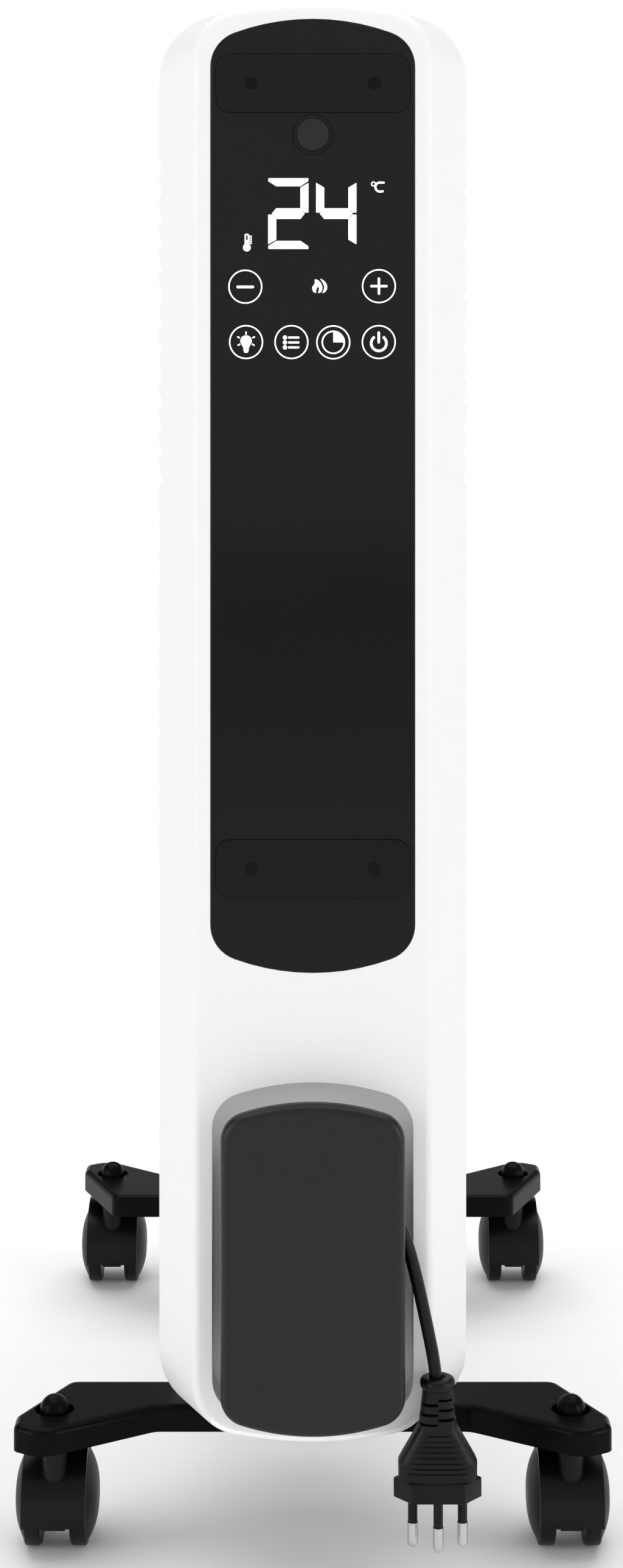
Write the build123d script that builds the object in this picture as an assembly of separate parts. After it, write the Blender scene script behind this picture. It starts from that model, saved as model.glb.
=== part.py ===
from build123d import *
import math
import os

# Oil filled radiator heater, millimetres, +Z up, front towards -Y.
# Origin: on the floor, under the middle of the heater's bounding box (its cord left out).

# ---- housing ----
FACE_Y = -173.5  # flat front face
RIM_Y = -147.5  # rear edge of the slanted sides
BACK_Y = -97.5  # rear face of the rear housing
WALL = 2.5
RIM_HALF, RIM_LOW, RIM_HIGH = 60.5, 53.5, 612.0
RIM_CORNER, RIM_RISE = 26.0, 29.4
FACE_HALF, FACE_LOW, FACE_HIGH = 45.6, 55.6, 610.3
FACE_CORNER, FACE_RISE = 20.0, 22.5
FACE_FILLET = 4.0
REAR_INSET = 0.8
REAR_BOTTOM = 58.2
VENT_COUNT, VENT_LOW, VENT_PITCH = 13, 425.7, 10.3
VENT_HIGH, VENT_REAR_Y = 3.4, -112.0
SCREW_X = 46.0
SCREW_ROWS = (112.0, 330.0, 552.0)
SCREW_R = 1.75
BOSS_START = -165.0  # where the screw bosses leave the slanted sides

# ---- front panel ----
PANEL_HALF, PANEL_LOW, PANEL_HIGH = 39.3, 237.0, 603.7
PANEL_CORNER, PANEL_RISE = 14.0, 18.5
PANEL_FRONT = -173.7
PANEL_THICK = 2.0
PLATE_HALF, PLATE_TALL, PLATE_CORNER, PLATE_THICK = 37.2, 22.2, 5.5, 0.6
PLATE_ROWS = (579.0, 277.0)
PLUG_DOT_X, PLUG_DOT_R = 23.7, 2.5
BUTTON_Z, BUTTON_R = 559.2, 6.2
BUTTON_FRONT, BUTTON_REAR, BUTTON_FLANGE = -175.4, -171.0, 1.4
PANEL_GAP, PANEL_LEDGE = 0.15, 3.0  # seat round the glass, and how far the ledge reaches behind it
PLUG_DOT_PROUD = 0.3

# ---- cord bay ----
BAY_HALF, BAY_LOW, BAY_HIGH, BAY_CORNER, BAY_RISE = 38.75, 62.8, 194.8, 14.0, 17.8
BAY_FLOOR = -158.5
COVER_HALF, COVER_LOW, COVER_HIGH, COVER_CORNER, COVER_RISE = 34.95, 65.8, 191.8, 11.0, 14.7
COVER_FRONT, COVER_THICK, COVER_FILLET = -194.5, 5.0, 3.4
DRUM_HALF, DRUM_LOW, DRUM_HIGH, DRUM_CORNER, DRUM_RISE = 22.0, 96.0, 164.0, 13.0, 15.0
DRUM_WALL = 2.5
DRUM_SCREWS = ((0, 150), (-8, 110))
DRUM_SCREW_R, DRUM_BOSS_R = 1.6, 4.0
PEG_ROWS, PEG_R, PEG_SOCKET_R = (126.0, 138.0), 2.95, 3.0
BAY_WALL = 2.2

# ---- cord and plug ----
CORD_D = 4.9
COIL_Z, COIL_HALF_X, COIL_HALF_Z = 118.5, 36.6, 52.0
COIL_SIDE_R, COIL_END_R = 87.0, 33.2
COIL_REAR, COIL_WIDE = -160.9, 26.6
GLAND_X, GLAND_Z, GLAND_R, GLAND_LENGTH, GLAND_BACK = 8.0, 78.0, 4.7, 25.0, -152.0
CORD_TAIL = [
    (19.8, -185.05, 160.9),
    (28.3, -185.0, 152.2),
    (35.0, -184.7, 140.0),
    (38.9, -184.2, 126.0),
    (41.9, -183.6, 112.5),
    (44.3, -183.1, 101.0),
    (46.2, -182.7, 91.5),
    (47.0, -182.5, 84.2),
]
PLUG_X, PLUG_Y = 47.6, -182.5
PIN_TIP, PIN_LENGTH, PIN_R, PIN_SPREAD, PIN_OFFSET = 20.3, 19.0, 2.0, 9.5, 5.0
PIN_CORE_R, SLEEVE_LENGTH = 1.5, 9.5
SLEEVE_R, SLEEVE_ROOT, PIN_ROOT = 1.8, 3.0, 9.0  # roots: how deep they sit in the plug
PLUG_FACE = PIN_TIP + PIN_LENGTH
GRIP_SECTIONS = [  # height, half width, half depth
    (82.5, 5.4, 4.8),
    (72.2, 7.2, 5.3),
    (63.0, 10.3, 5.9),
    (55.4, 14.1, 6.6),
    (46.5, 15.1, 7.0),
]
CAP_R, CAP_LOW, CAP_HIGH = 6.75, 81.8, 85.0
FLANGE_HALF, FLANGE_FRONT, FLANGE_DEEP, FLANGE_TALL = 17.0, 10.0, 7.7, 7.6

# ---- electronics ----
BOARD_FRONT, BOARD_REAR = -162.0, -160.4
BOARD_POSTS = ((-39, 470), (39, 470), (-39, 580), (39, 580))
TOUCH_PADS = ((-25.6, 479.4), (-8.2, 479.4), (7.9, 479.4), (25.5, 479.4), (-25.9, 500.9), (25.4, 500.9))
POWER_FRONT, POWER_REAR = -107.6, -106.0
POWER_POSTS = ((-32, 205), (32, 205), (-32, 325), (32, 325))
RIBBON_HALF, RIBBON_THICK = 8.0, 0.8
WIRE_D = 2.4

# ---- fins and oil passages ----
FIN_COUNT, FIN_PITCH, FIN_FIRST = 7, 40.0, -82.25
FIN_HALF, FIN_LOW, FIN_HIGH, FIN_CORNER, FIN_RISE = 59.0, 64.0, 602.0, 26.0, 29.0
FIN_SHEET, FIN_CHANNEL, FIN_RIM = 2.4, 10.4, 5.0
CHANNEL_WIDE, CHANNEL_X, PRESS_TAPER = 21.0, 33.0, 35.0
HUB_LOW, HUB_HIGH = 100.0, 566.0
HUB_PAD_R, COLLAR_R, COLLAR_BORE, HUB_HOLE = 26.0, 19.0, 16.0, 13.0
ELEMENT_R, ELEMENT_X = 4.0, 5.5
SEAL_FRONT, SEAL_R = -93.0, 22.0  # inner end and collar of the two screwed plugs

# ---- feet and castors ----
FOOT_LOW, FOOT_HIGH, FOOT_FILLET = 48.0, 58.2, 2.6
FOOT_SCREW_X, FOOT_SCREW_R = 30.0, 2.0
BAR_DEEP, BAR_TO_STEM = 27.5, 16.75  # bar's depth; front foot, bar's middle to the stems
REAR_REACH = 7.0  # how much further the rear foot's arms reach
STEM_X, STEM_Y, STEM_R = 102.0, -145.5, 3.0
REAR_STEM_Y = 161.5
TRAIL = 14.0
STEM_RECESS_R, STEM_RECESS_DEEP, STEM_CAP_R = 7.75, 2.5, 5.75
WHEEL_R, WHEEL_IN, WHEEL_OUT, WHEEL_FACE = 19.0, 5.9, 12.3, 16.4
DISC_R, HUB_FLAT_R, AXLE_R, AXLE_END = 17.4, 3.0, 2.5, 14.0
HOOD_IN, HOOD_OUT, HOOD_HALF, WEB_HALF = 20.2, 22.2, 12.6, 4.5
BOSS_R = 5.15
FRONT_BAR_Y = STEM_Y + BAR_TO_STEM  # middle of the front foot's bar
BAR_Y = REAR_STEM_Y - BAR_TO_STEM - REAR_REACH  # middle of the rear foot's bar
U_BOLT_R = 2.5
U_BOLT_X = COLLAR_R + U_BOLT_R + 0.1


def oval_wire(half, low, high, corner, rise, y):
    """Closed outline in a plane of constant y: straight sides, corner arcs and shallow end arcs."""
    end_r = ((half - corner) ** 2 / (rise - corner) + corner + rise) / 2
    turn = math.atan2(end_r - rise, half - corner)

    def point(side, end, angle):
        centre = high - rise if end > 0 else low + rise
        across = half - corner + corner * math.cos(angle)
        return Vector(side * across, y, centre + end * corner * math.sin(angle))

    edges = []
    for side, end in ((1, 1), (-1, -1)):
        edges.append(Line(point(side, -end, 0), point(side, end, 0)))
        edges.append(ThreePointArc(point(side, end, 0), point(side, end, turn / 2), point(side, end, turn)))
        tip = Vector(0, y, high if end > 0 else low)
        edges.append(ThreePointArc(point(side, end, turn), tip, point(-side, end, turn)))
        edges.append(
            ThreePointArc(point(-side, end, turn), point(-side, end, turn / 2), point(-side, end, 0))
        )
    return Wire(edges)


def oval_prism(half, low, high, corner, rise, y_from, y_to):
    """Prism of the oval outline between two depths."""
    face = Face(oval_wire(half, low, high, corner, rise, y_from))
    return Solid.extrude(face, Vector(0, y_to - y_from, 0))


def block(x, y, z):
    """Box given by its three pairs of limits."""
    return Pos(sum(x) / 2, sum(y) / 2, sum(z) / 2) * Box(x[1] - x[0], y[1] - y[0], z[1] - z[0])


def rod(x, z, radius, y_from, y_to):
    """Cylinder along y."""
    return Pos(x, (y_from + y_to) / 2, z) * Rot(90, 0, 0) * Cylinder(radius, abs(y_to - y_from))


def post(x, y, radius, z_from, z_to):
    """Cylinder along z."""
    return Pos(x, y, (z_from + z_to) / 2) * Cylinder(radius, abs(z_to - z_from))


def shaft(y, z, radius, x_from, x_to):
    """Cylinder along x."""
    return Pos((x_from + x_to) / 2, y, z) * Rot(0, 90, 0) * Cylinder(radius, abs(x_to - x_from))


def hexagon(x, z, across_flats, y_from, y_to):
    """Hexagonal prism along y."""
    plane = Plane(origin=(x, y_from, z), x_dir=(1, 0, 0), z_dir=(0, 1, 0))
    return extrude(plane * RegularPolygon(across_flats / math.sqrt(3), 6), y_to - y_from)


def tube(points, radius, diameter):
    """Round tube along straight runs joined by tangent arcs."""
    path = FilletPolyline(*points, radius=radius)
    start = Plane(origin=path @ 0, z_dir=path % 0)
    return sweep(start * Circle(diameter / 2), path=path), path


def cord_radii(points):
    """Bend radius at each corner, as large as the two runs beside it allow."""
    radii = []
    for before, here, after in zip(points, points[1:], points[2:]):
        first = Vector(here) - Vector(before)
        second = Vector(after) - Vector(here)
        half_turn = math.radians(first.get_angle(second)) / 2
        radii.append(0.45 * min(first.length, second.length) / math.tan(half_turn))
    return radii


def vents():
    """Cutters of the side vents, one bar through both sides for each row."""
    rows = [VENT_LOW + i * VENT_PITCH for i in range(VENT_COUNT)]
    sides = []
    for z in rows:
        for x in ((-RIM_HALF - 2, -RIM_HALF + 4.5), (RIM_HALF - 4.5, RIM_HALF + 2)):
            sides.append(block(x, (RIM_Y - 1.6, VENT_REAR_Y), (z - VENT_HIGH / 2, z + VENT_HIGH / 2)))
    return sides


def screw_places():
    """Places of the six housing screws."""
    return [(side * SCREW_X, z) for side in (-1, 1) for z in SCREW_ROWS]


def front_housing():
    """Front shell: bevelled sides, seat for the glass panel, cord bay and screw bosses."""
    outer = Solid.make_loft(
        [
            oval_wire(RIM_HALF, RIM_LOW, RIM_HIGH, RIM_CORNER, RIM_RISE, RIM_Y),
            oval_wire(FACE_HALF, FACE_LOW, FACE_HIGH, FACE_CORNER, FACE_RISE, FACE_Y),
        ],
        ruled=True,
    )
    front_edges = [e for e in outer.edges() if e.center().Y < FACE_Y + 0.1]
    outer = outer.fillet(FACE_FILLET, front_edges)
    inner = Solid.make_loft(
        [
            oval_wire(
                RIM_HALF - WALL, RIM_LOW + WALL, RIM_HIGH - WALL, RIM_CORNER - WALL, RIM_RISE - WALL, RIM_Y
            ),
            oval_wire(
                FACE_HALF - 2 * WALL,
                FACE_LOW + WALL,
                FACE_HIGH - WALL,
                FACE_CORNER - 2 * WALL,
                FACE_RISE - 2 * WALL,
                FACE_Y + 3.0,
            ),
        ],
        ruled=True,
    )
    shell = Part() + outer - inner
    for x, z in screw_places():
        shell += rod(x, z, 4.0, BOSS_START, BACK_Y - WALL)
    shell += oval_prism(
        BAY_HALF + BAY_WALL,
        BAY_LOW - BAY_WALL,
        BAY_HIGH + BAY_WALL,
        BAY_CORNER + BAY_WALL,
        BAY_RISE + BAY_WALL,
        FACE_Y + 1.0,
        BAY_FLOOR + WALL,
    )
    shell -= oval_prism(BAY_HALF, BAY_LOW, BAY_HIGH, BAY_CORNER, BAY_RISE, FACE_Y - 3, BAY_FLOOR)
    shell -= oval_prism(
        PANEL_HALF + PANEL_GAP,
        PANEL_LOW - PANEL_GAP,
        PANEL_HIGH + PANEL_GAP,
        PANEL_CORNER,
        PANEL_RISE,
        FACE_Y - 3,
        PANEL_FRONT + PANEL_THICK,
    )
    shell -= oval_prism(
        PANEL_HALF - PANEL_LEDGE,
        PANEL_LOW + PANEL_LEDGE,
        PANEL_HIGH - PANEL_LEDGE,
        PANEL_CORNER - PANEL_LEDGE,
        PANEL_RISE - PANEL_LEDGE,
        FACE_Y - 3,
        FACE_Y + 4,
    )
    for x, z in screw_places():
        shell -= rod(x, z, SCREW_R, -124, BACK_Y)
    for x, z in DRUM_SCREWS:
        shell -= rod(x, z, DRUM_SCREW_R, BAY_FLOOR - 1, BAY_FLOOR + WALL + 1)
    shell -= rod(GLAND_X, GLAND_Z, GLAND_R, BAY_FLOOR - 1, BAY_FLOOR + WALL + 1)
    for x, z in BOARD_POSTS:
        shell += rod(x, z, 2.2, FACE_Y + 2.4, BOARD_FRONT)
    for cutter in vents():
        shell -= cutter
    return shell


def rear_housing():
    """Rear shell: vented sides, flat bottom for the front foot, seats for the two hub collars."""
    outer = oval_prism(
        RIM_HALF - REAR_INSET,
        RIM_LOW + REAR_INSET,
        RIM_HIGH - REAR_INSET,
        RIM_CORNER - REAR_INSET,
        RIM_RISE - REAR_INSET,
        RIM_Y,
        BACK_Y,
    )
    inset = REAR_INSET + WALL
    inner = oval_prism(
        RIM_HALF - inset,
        RIM_LOW + inset,
        RIM_HIGH - inset,
        RIM_CORNER - inset,
        RIM_RISE - inset,
        RIM_Y - 1,
        BACK_Y - WALL,
    )
    shell = Part() + outer - block((-70, 70), (-160, -90), (40, REAR_BOTTOM))
    back_edges = [
        e for e in shell.edges() if e.center().Y > BACK_Y - 0.1 and e.bounding_box().size.Y < 0.1
    ]
    shell = fillet(back_edges, 2.0)
    inner = Part() + inner - block((-70, 70), (-160, -90), (40, REAR_BOTTOM + WALL))
    shell -= inner
    for x in (-FOOT_SCREW_X, FOOT_SCREW_X):
        shell += post(x, FRONT_BAR_Y, 5.0, REAR_BOTTOM + 1, 72.0)
        shell -= post(x, FRONT_BAR_Y, FOOT_SCREW_R, REAR_BOTTOM - 1, 69.0)
    for x, z in POWER_POSTS:
        shell += rod(x, z, 3.0, POWER_REAR, BACK_Y - 1)
    for z in (HUB_LOW, HUB_HIGH):
        shell -= rod(0, z, COLLAR_R + 0.2, BACK_Y - 6, BACK_Y + 1)
    for x, z in screw_places():
        shell -= rod(x, z, SCREW_R + 0.2, BACK_Y - 6, BACK_Y + 1)
    for cutter in vents():
        shell -= cutter
    return shell


def housing_screws():
    """Six screws from behind into the front shell's bosses."""
    group = []
    for x, z in screw_places():
        group.append(rod(x, z, SCREW_R, -118.0, BACK_Y) + rod(x, z, 3.4, BACK_Y, BACK_Y + 2.0))
    return group


def control_panel():
    """Glass panel with the button's hole."""
    glass = oval_prism(
        PANEL_HALF,
        PANEL_LOW,
        PANEL_HIGH,
        PANEL_CORNER,
        PANEL_RISE,
        PANEL_FRONT,
        PANEL_FRONT + PANEL_THICK,
    )
    rim = [e for e in glass.edges() if e.center().Y < PANEL_FRONT + 0.1]
    glass = glass.fillet(0.5, rim)
    return Part() + glass - rod(0, BUTTON_Z, BUTTON_R + 0.1, PANEL_FRONT - 1, PANEL_FRONT + 4)


def trim_plates():
    """Raised plates near the panel's two ends, each with two plug holes."""
    plates = []
    for z in PLATE_ROWS:
        plane = Plane(origin=(0, PANEL_FRONT, z), x_dir=(1, 0, 0), z_dir=(0, -1, 0))
        plate = extrude(plane * RectangleRounded(2 * PLATE_HALF, PLATE_TALL, PLATE_CORNER), PLATE_THICK)
        for x in (-PLUG_DOT_X, PLUG_DOT_X):
            plate -= rod(x, z, PLUG_DOT_R, PANEL_FRONT - 2, PANEL_FRONT + 1)
        plates.append(plate)
    return plates


def trim_plugs():
    """Four round plugs in the raised plates."""
    spots = [(x, z) for z in PLATE_ROWS for x in (-PLUG_DOT_X, PLUG_DOT_X)]
    return [rod(x, z, PLUG_DOT_R, PANEL_FRONT - PLATE_THICK - PLUG_DOT_PROUD, PANEL_FRONT) for x, z in spots]


def power_button():
    """Round push button: domed cap, retaining flange and plunger."""
    cap = rod(0, BUTTON_Z, BUTTON_R, BUTTON_FRONT, BUTTON_REAR)
    front = [e for e in cap.edges() if e.center().Y < BUTTON_FRONT + 0.1]
    cap = fillet(front, 0.9)
    flange = rod(0, BUTTON_Z, BUTTON_R + BUTTON_FLANGE, BUTTON_REAR - 0.4, BUTTON_REAR + 0.8)
    return cap + flange + rod(0, BUTTON_Z, 2.5, BUTTON_REAR + 0.6, BUTTON_REAR + 2.0)


def button_switch():
    """Tactile switch on the control board."""
    base = block((-3.1, 3.1), (BOARD_FRONT - 3.4, BOARD_FRONT), (BUTTON_Z - 3.1, BUTTON_Z + 3.1))
    return base + rod(0, BUTTON_Z, 1.7, BOARD_FRONT - 5.9, BOARD_FRONT - 3.2)


def display_module():
    """Two-digit display block behind the glass."""
    body = block((-25, 25), (BOARD_FRONT - 6.5, BOARD_FRONT), (508, 548))
    return body - block((-22, 22), (BOARD_FRONT - 7.0, BOARD_FRONT - 5.9), (512, 545))


def control_board():
    """Circuit board behind the panel with its touch springs' pads."""
    board = block((-42, 42), (BOARD_FRONT, BOARD_REAR), (462, 588))
    for x, z in TOUCH_PADS:
        board += rod(x, z, 5.0, BOARD_FRONT - 1.2, BOARD_FRONT)
    return board


def power_board():
    """Power circuit board on the rear shell's posts, with a capacitor and two chokes."""
    board = block((-37, 37), (POWER_FRONT, POWER_REAR), (198, 332))
    board += rod(-22, 300, 7.0, -124, POWER_FRONT)
    for x in (10, 26):
        board += block((x - 6, x + 6), (-118, POWER_FRONT), (298, 312))
    return board


def relays():
    """Two relays on the power board."""
    return [block((x - 8, x + 8), (-123, POWER_FRONT), (250, 279)) for x in (-14.0, 14.0)]


def terminal_block():
    """Screw terminals for the supply lead."""
    base = block((-4, 36), (-121, POWER_FRONT), (206, 222))
    for x in (2, 11, 20, 29):
        base -= rod(x + 1.5, 214, 2.6, -122, -113)
    return base


def tilt_switch():
    """Tip-over switch: a ball cage on the rear wall."""
    base = block((-42, -18), (-112, -100), (150, 178))
    return base + rod(-30, 164, 8.0, -120, -112)


def room_sensor():
    """Bead sensor for the room's temperature, beside the vents."""
    holder = block((46, 54), (-104, -100), (400, 414))
    return holder + rod(50, 407, 2.2, -116, -104)


def winder_core():
    """Hollow drum that the cord is wound on."""
    front = COVER_FRONT + COVER_THICK
    drum = Part() + oval_prism(DRUM_HALF, DRUM_LOW, DRUM_HIGH, DRUM_CORNER, DRUM_RISE, BAY_FLOOR, front)
    drum -= oval_prism(
        DRUM_HALF - DRUM_WALL,
        DRUM_LOW + DRUM_WALL,
        DRUM_HIGH - DRUM_WALL,
        DRUM_CORNER - DRUM_WALL,
        DRUM_RISE - DRUM_WALL,
        BAY_FLOOR,
        front + DRUM_WALL,
    )
    for x, z in DRUM_SCREWS:
        drum += rod(x, z, DRUM_BOSS_R, BAY_FLOOR, front + 1)
        drum -= rod(x, z, DRUM_SCREW_R, BAY_FLOOR - 14, BAY_FLOOR)
    for z in PEG_ROWS:
        drum += rod(0, z, 5.2, front + 7, front + 1)
        drum -= rod(0, z, PEG_SOCKET_R, front - 1, front + 6)
    return drum


def cord_gland():
    """Right-angled strain relief: a stub through the bay's floor and a tapered boot along the winding."""
    stub = rod(GLAND_X, GLAND_Z, GLAND_R, COIL_REAR - CORD_D / 2, GLAND_BACK)
    elbow = Pos(GLAND_X, COIL_REAR - CORD_D / 2, GLAND_Z) * Sphere(GLAND_R)
    base = Plane(origin=(GLAND_X, COIL_REAR - CORD_D / 2, GLAND_Z), z_dir=(-1, 0, -0.04))
    tip = base.offset(GLAND_LENGTH)
    return stub + elbow + loft([base * Circle(GLAND_R), tip * Circle(CORD_D / 2 + 0.6)])


def winder_cover():
    """Plate that keeps the wound cord on its drum, with two pegs."""
    rear = COVER_FRONT + COVER_THICK
    plate = oval_prism(COVER_HALF, COVER_LOW, COVER_HIGH, COVER_CORNER, COVER_RISE, COVER_FRONT, rear)
    rim = [e for e in plate.edges() if e.center().Y < COVER_FRONT + 0.1]
    plate = Part() + plate.fillet(COVER_FILLET, rim)
    for z in PEG_ROWS:
        plate += rod(0, z, PEG_R, rear - 1, rear + 5.5)
    return plate


def winder_screws():
    """Two screws from inside the housing into the drum's bosses."""
    floor = BAY_FLOOR + WALL
    screws = []
    for x, z in DRUM_SCREWS:
        screws.append(rod(x, z, DRUM_SCREW_R, floor - 13, floor) + rod(x, z, 3.2, floor, floor + 1.8))
    return screws


def coil_outline(inset, y):
    """Outline of the winding: two long side arcs and two end arcs."""
    side_x = COIL_SIDE_R - COIL_HALF_X
    end_z = COIL_HALF_Z - COIL_END_R
    length = math.hypot(side_x, end_z)
    side_r, end_r = COIL_SIDE_R - inset, COIL_END_R - inset

    def corner(right, up):
        return Vector(right * end_r * side_x / length, y, COIL_Z + up * (end_z + end_r * end_z / length))

    edges = []
    for right in (1, -1):
        up = right
        side = Vector(right * (side_r - side_x), y, COIL_Z)
        end = Vector(0, y, COIL_Z + up * (end_z + end_r))
        edges.append(ThreePointArc(corner(right, -up), side, corner(right, up)))
        edges.append(ThreePointArc(corner(right, up), end, corner(-right, up)))
    return Wire(edges)


def cord_coil():
    """The wound cord as one ring of its outer shape, one layer thick."""
    along = Vector(0, -COIL_WIDE, 0)
    outer = Solid.extrude(Face(coil_outline(0, COIL_REAR)), along)
    inner = Solid.extrude(Face(coil_outline(CORD_D, COIL_REAR)), along)
    return Part() + outer - inner


def cord_tail():
    """The free end of the cord, from the winding down to the plug."""
    radii = cord_radii(CORD_TAIL)
    solid, path = tube(CORD_TAIL, radii, CORD_D)
    print("cord radii", [round(r, 1) for r in radii])
    section = math.pi * (CORD_D / 2) ** 2
    print("cord tail length", round(path.length, 1))
    print("volume over section times length", round(solid.volume / section / path.length, 4))
    return solid


def plug_body():
    """Moulded plug: collar, bell-shaped grip and six-sided flange."""
    outlines = []
    for z, half_x, half_y in GRIP_SECTIONS:
        plane = Plane(origin=(PLUG_X, PLUG_Y, z))
        outlines.append(plane * RectangleRounded(2 * half_x, 2 * half_y, half_y * 0.9))
    grip = loft(outlines, ruled=True)
    collar = post(PLUG_X, PLUG_Y, CAP_R, CAP_LOW, CAP_HIGH)
    collar = fillet(collar.edges().filter_by(GeomType.CIRCLE), 1.3)
    front = [(-FLANGE_HALF, 0), (-FLANGE_FRONT, -FLANGE_DEEP), (FLANGE_FRONT, -FLANGE_DEEP)]
    ring = front + [(-x, -y) for x, y in front]
    flange = extrude(Plane(origin=(PLUG_X, PLUG_Y, PLUG_FACE)) * Polygon(*ring), FLANGE_TALL)
    flange = fillet(flange.edges(), 0.6)
    body = grip + collar + flange
    for x, y in pin_places():
        body -= post(x, y, SLEEVE_R, PLUG_FACE - 1, PLUG_FACE + SLEEVE_ROOT)
        body -= post(x, y, PIN_CORE_R, PLUG_FACE, PLUG_FACE + PIN_ROOT)
    return body


def pin_places():
    """Axes of the three pins, the middle one nearer the front."""
    return [(PLUG_X - PIN_SPREAD, PLUG_Y), (PLUG_X, PLUG_Y - PIN_OFFSET), (PLUG_X + PIN_SPREAD, PLUG_Y)]


def plug_pins():
    """Three contact pins with round ends."""
    pins = []
    sleeve_end = PLUG_FACE - SLEEVE_LENGTH
    for x, y in pin_places():
        pin = post(x, y, PIN_R, PIN_TIP + PIN_R, sleeve_end)
        pin += Pos(x, y, PIN_TIP + PIN_R) * Sphere(PIN_R)
        pin += post(x, y, PIN_CORE_R, sleeve_end - 1, PLUG_FACE + PIN_ROOT)
        pins.append(pin)
    return pins


def pin_sleeves():
    """Insulating sleeves round the upper half of each pin, a little thinner than its bare end."""
    sleeves = []
    low, high = PLUG_FACE - SLEEVE_LENGTH, PLUG_FACE + SLEEVE_ROOT
    for x, y in pin_places():
        sleeves.append(post(x, y, SLEEVE_R, low, high) - post(x, y, PIN_CORE_R, low, high))
    return sleeves


def fin():
    """One oil-filled fin: two pressed sheets with raised channels, rim and hub pads, at y = 0."""
    sheet = oval_prism(FIN_HALF, FIN_LOW, FIN_HIGH, FIN_CORNER, FIN_RISE, -FIN_SHEET / 2, FIN_SHEET / 2)
    body = Part() + sheet
    rim = oval_prism(FIN_HALF, FIN_LOW, FIN_HIGH, FIN_CORNER, FIN_RISE, -FIN_RIM / 2, FIN_RIM / 2)
    hollow = oval_prism(
        FIN_HALF - 3,
        FIN_LOW + 3,
        FIN_HIGH - 3,
        FIN_CORNER - 3,
        FIN_RISE - 3,
        -FIN_RIM / 2 - 1,
        FIN_RIM / 2 + 1,
    )
    tall = HUB_HIGH - HUB_LOW
    middle = (HUB_HIGH + HUB_LOW) / 2
    pads = []
    for x in (-CHANNEL_X, 0, CHANNEL_X):
        pads.append(Pos(x, middle) * Rot(0, 0, 90) * SlotOverall(tall + CHANNEL_WIDE, CHANNEL_WIDE))
    for z in (HUB_LOW, HUB_HIGH):
        pads.append(Pos(0, z) * SlotOverall(2 * CHANNEL_X + CHANNEL_WIDE, CHANNEL_WIDE))
        pads.append(Pos(0, z) * Circle(HUB_PAD_R))
    for face in (-1, 1):
        plane = Plane(origin=(0, 0, 0), x_dir=(-face, 0, 0), z_dir=(0, face, 0))
        for pad in pads:
            body += extrude(plane * pad, FIN_CHANNEL / 2, taper=PRESS_TAPER)
    for z in (HUB_LOW, HUB_HIGH):
        body -= rod(0, z, HUB_HOLE, -20, 20)
    return body + (Part() + rim - hollow)


def fin_y(index):
    """Middle plane of a fin."""
    return FIN_FIRST + index * FIN_PITCH


def hub_collars():
    """Welded collars that join the fins at the two hubs, and the two that enter the housing."""
    half = FIN_CHANNEL / 2
    spans = [(fin_y(i) + half, fin_y(i + 1) - half) for i in range(FIN_COUNT - 1)]
    spans.append((BACK_Y - WALL, fin_y(0) - half))
    rings = []
    for z in (HUB_LOW, HUB_HIGH):
        for start, end in spans:
            rings.append(rod(0, z, COLLAR_R, start, end) - rod(0, z, COLLAR_BORE, start, end))
    return rings


def hub_end_caps():
    """Domed caps that close the hubs at the last fin."""
    caps = []
    start = fin_y(FIN_COUNT - 1) + FIN_CHANNEL / 2
    for z in (HUB_LOW, HUB_HIGH):
        cap = rod(0, z, COLLAR_R, start, start + 6)
        outer = [e for e in cap.edges() if e.center().Y > start + 5]
        caps.append(fillet(outer, 3.5))
    return caps


def heating_element():
    """U-shaped tubular element in the lower oil passage."""
    end = 158.0 - ELEMENT_R
    points = [
        (-ELEMENT_X, SEAL_FRONT, HUB_LOW),
        (-ELEMENT_X, end, HUB_LOW),
        (ELEMENT_X, end, HUB_LOW),
        (ELEMENT_X, SEAL_FRONT, HUB_LOW),
    ]
    solid, _ = tube(points, ELEMENT_X - 0.01, 2 * ELEMENT_R)
    return solid


def element_flange():
    """Screwed plug that seals the lower passage and holds the element's terminals."""
    wall = BACK_Y - WALL
    body = rod(0, HUB_LOW, COLLAR_BORE, SEAL_FRONT, wall) + rod(0, HUB_LOW, SEAL_R, wall - 3, wall)
    body += hexagon(0, HUB_LOW, 32.0, wall - 3, wall - 11)
    for x in (-ELEMENT_X, ELEMENT_X):
        body += rod(x, HUB_LOW, 2.0, wall - 22, wall - 11)
    return body


def filler_plug():
    """Hexagonal plug that closes the upper passage after filling."""
    wall = BACK_Y - WALL
    body = rod(0, HUB_HIGH, COLLAR_BORE, SEAL_FRONT, wall) + rod(0, HUB_HIGH, SEAL_R, wall - 3, wall)
    return body + hexagon(0, HUB_HIGH, 24.0, wall - 3, wall - 10)


def thermal_cutout():
    """Safety thermostat against the first fin."""
    face = fin_y(0) - FIN_CHANNEL / 2
    body = rod(0, 150, 8.0, face - 6, face)
    for x in (-5, 5):
        body += block((x - 2, x + 2), (face - 9, face - 6), (149.5, 150.5))
    return body


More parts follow.
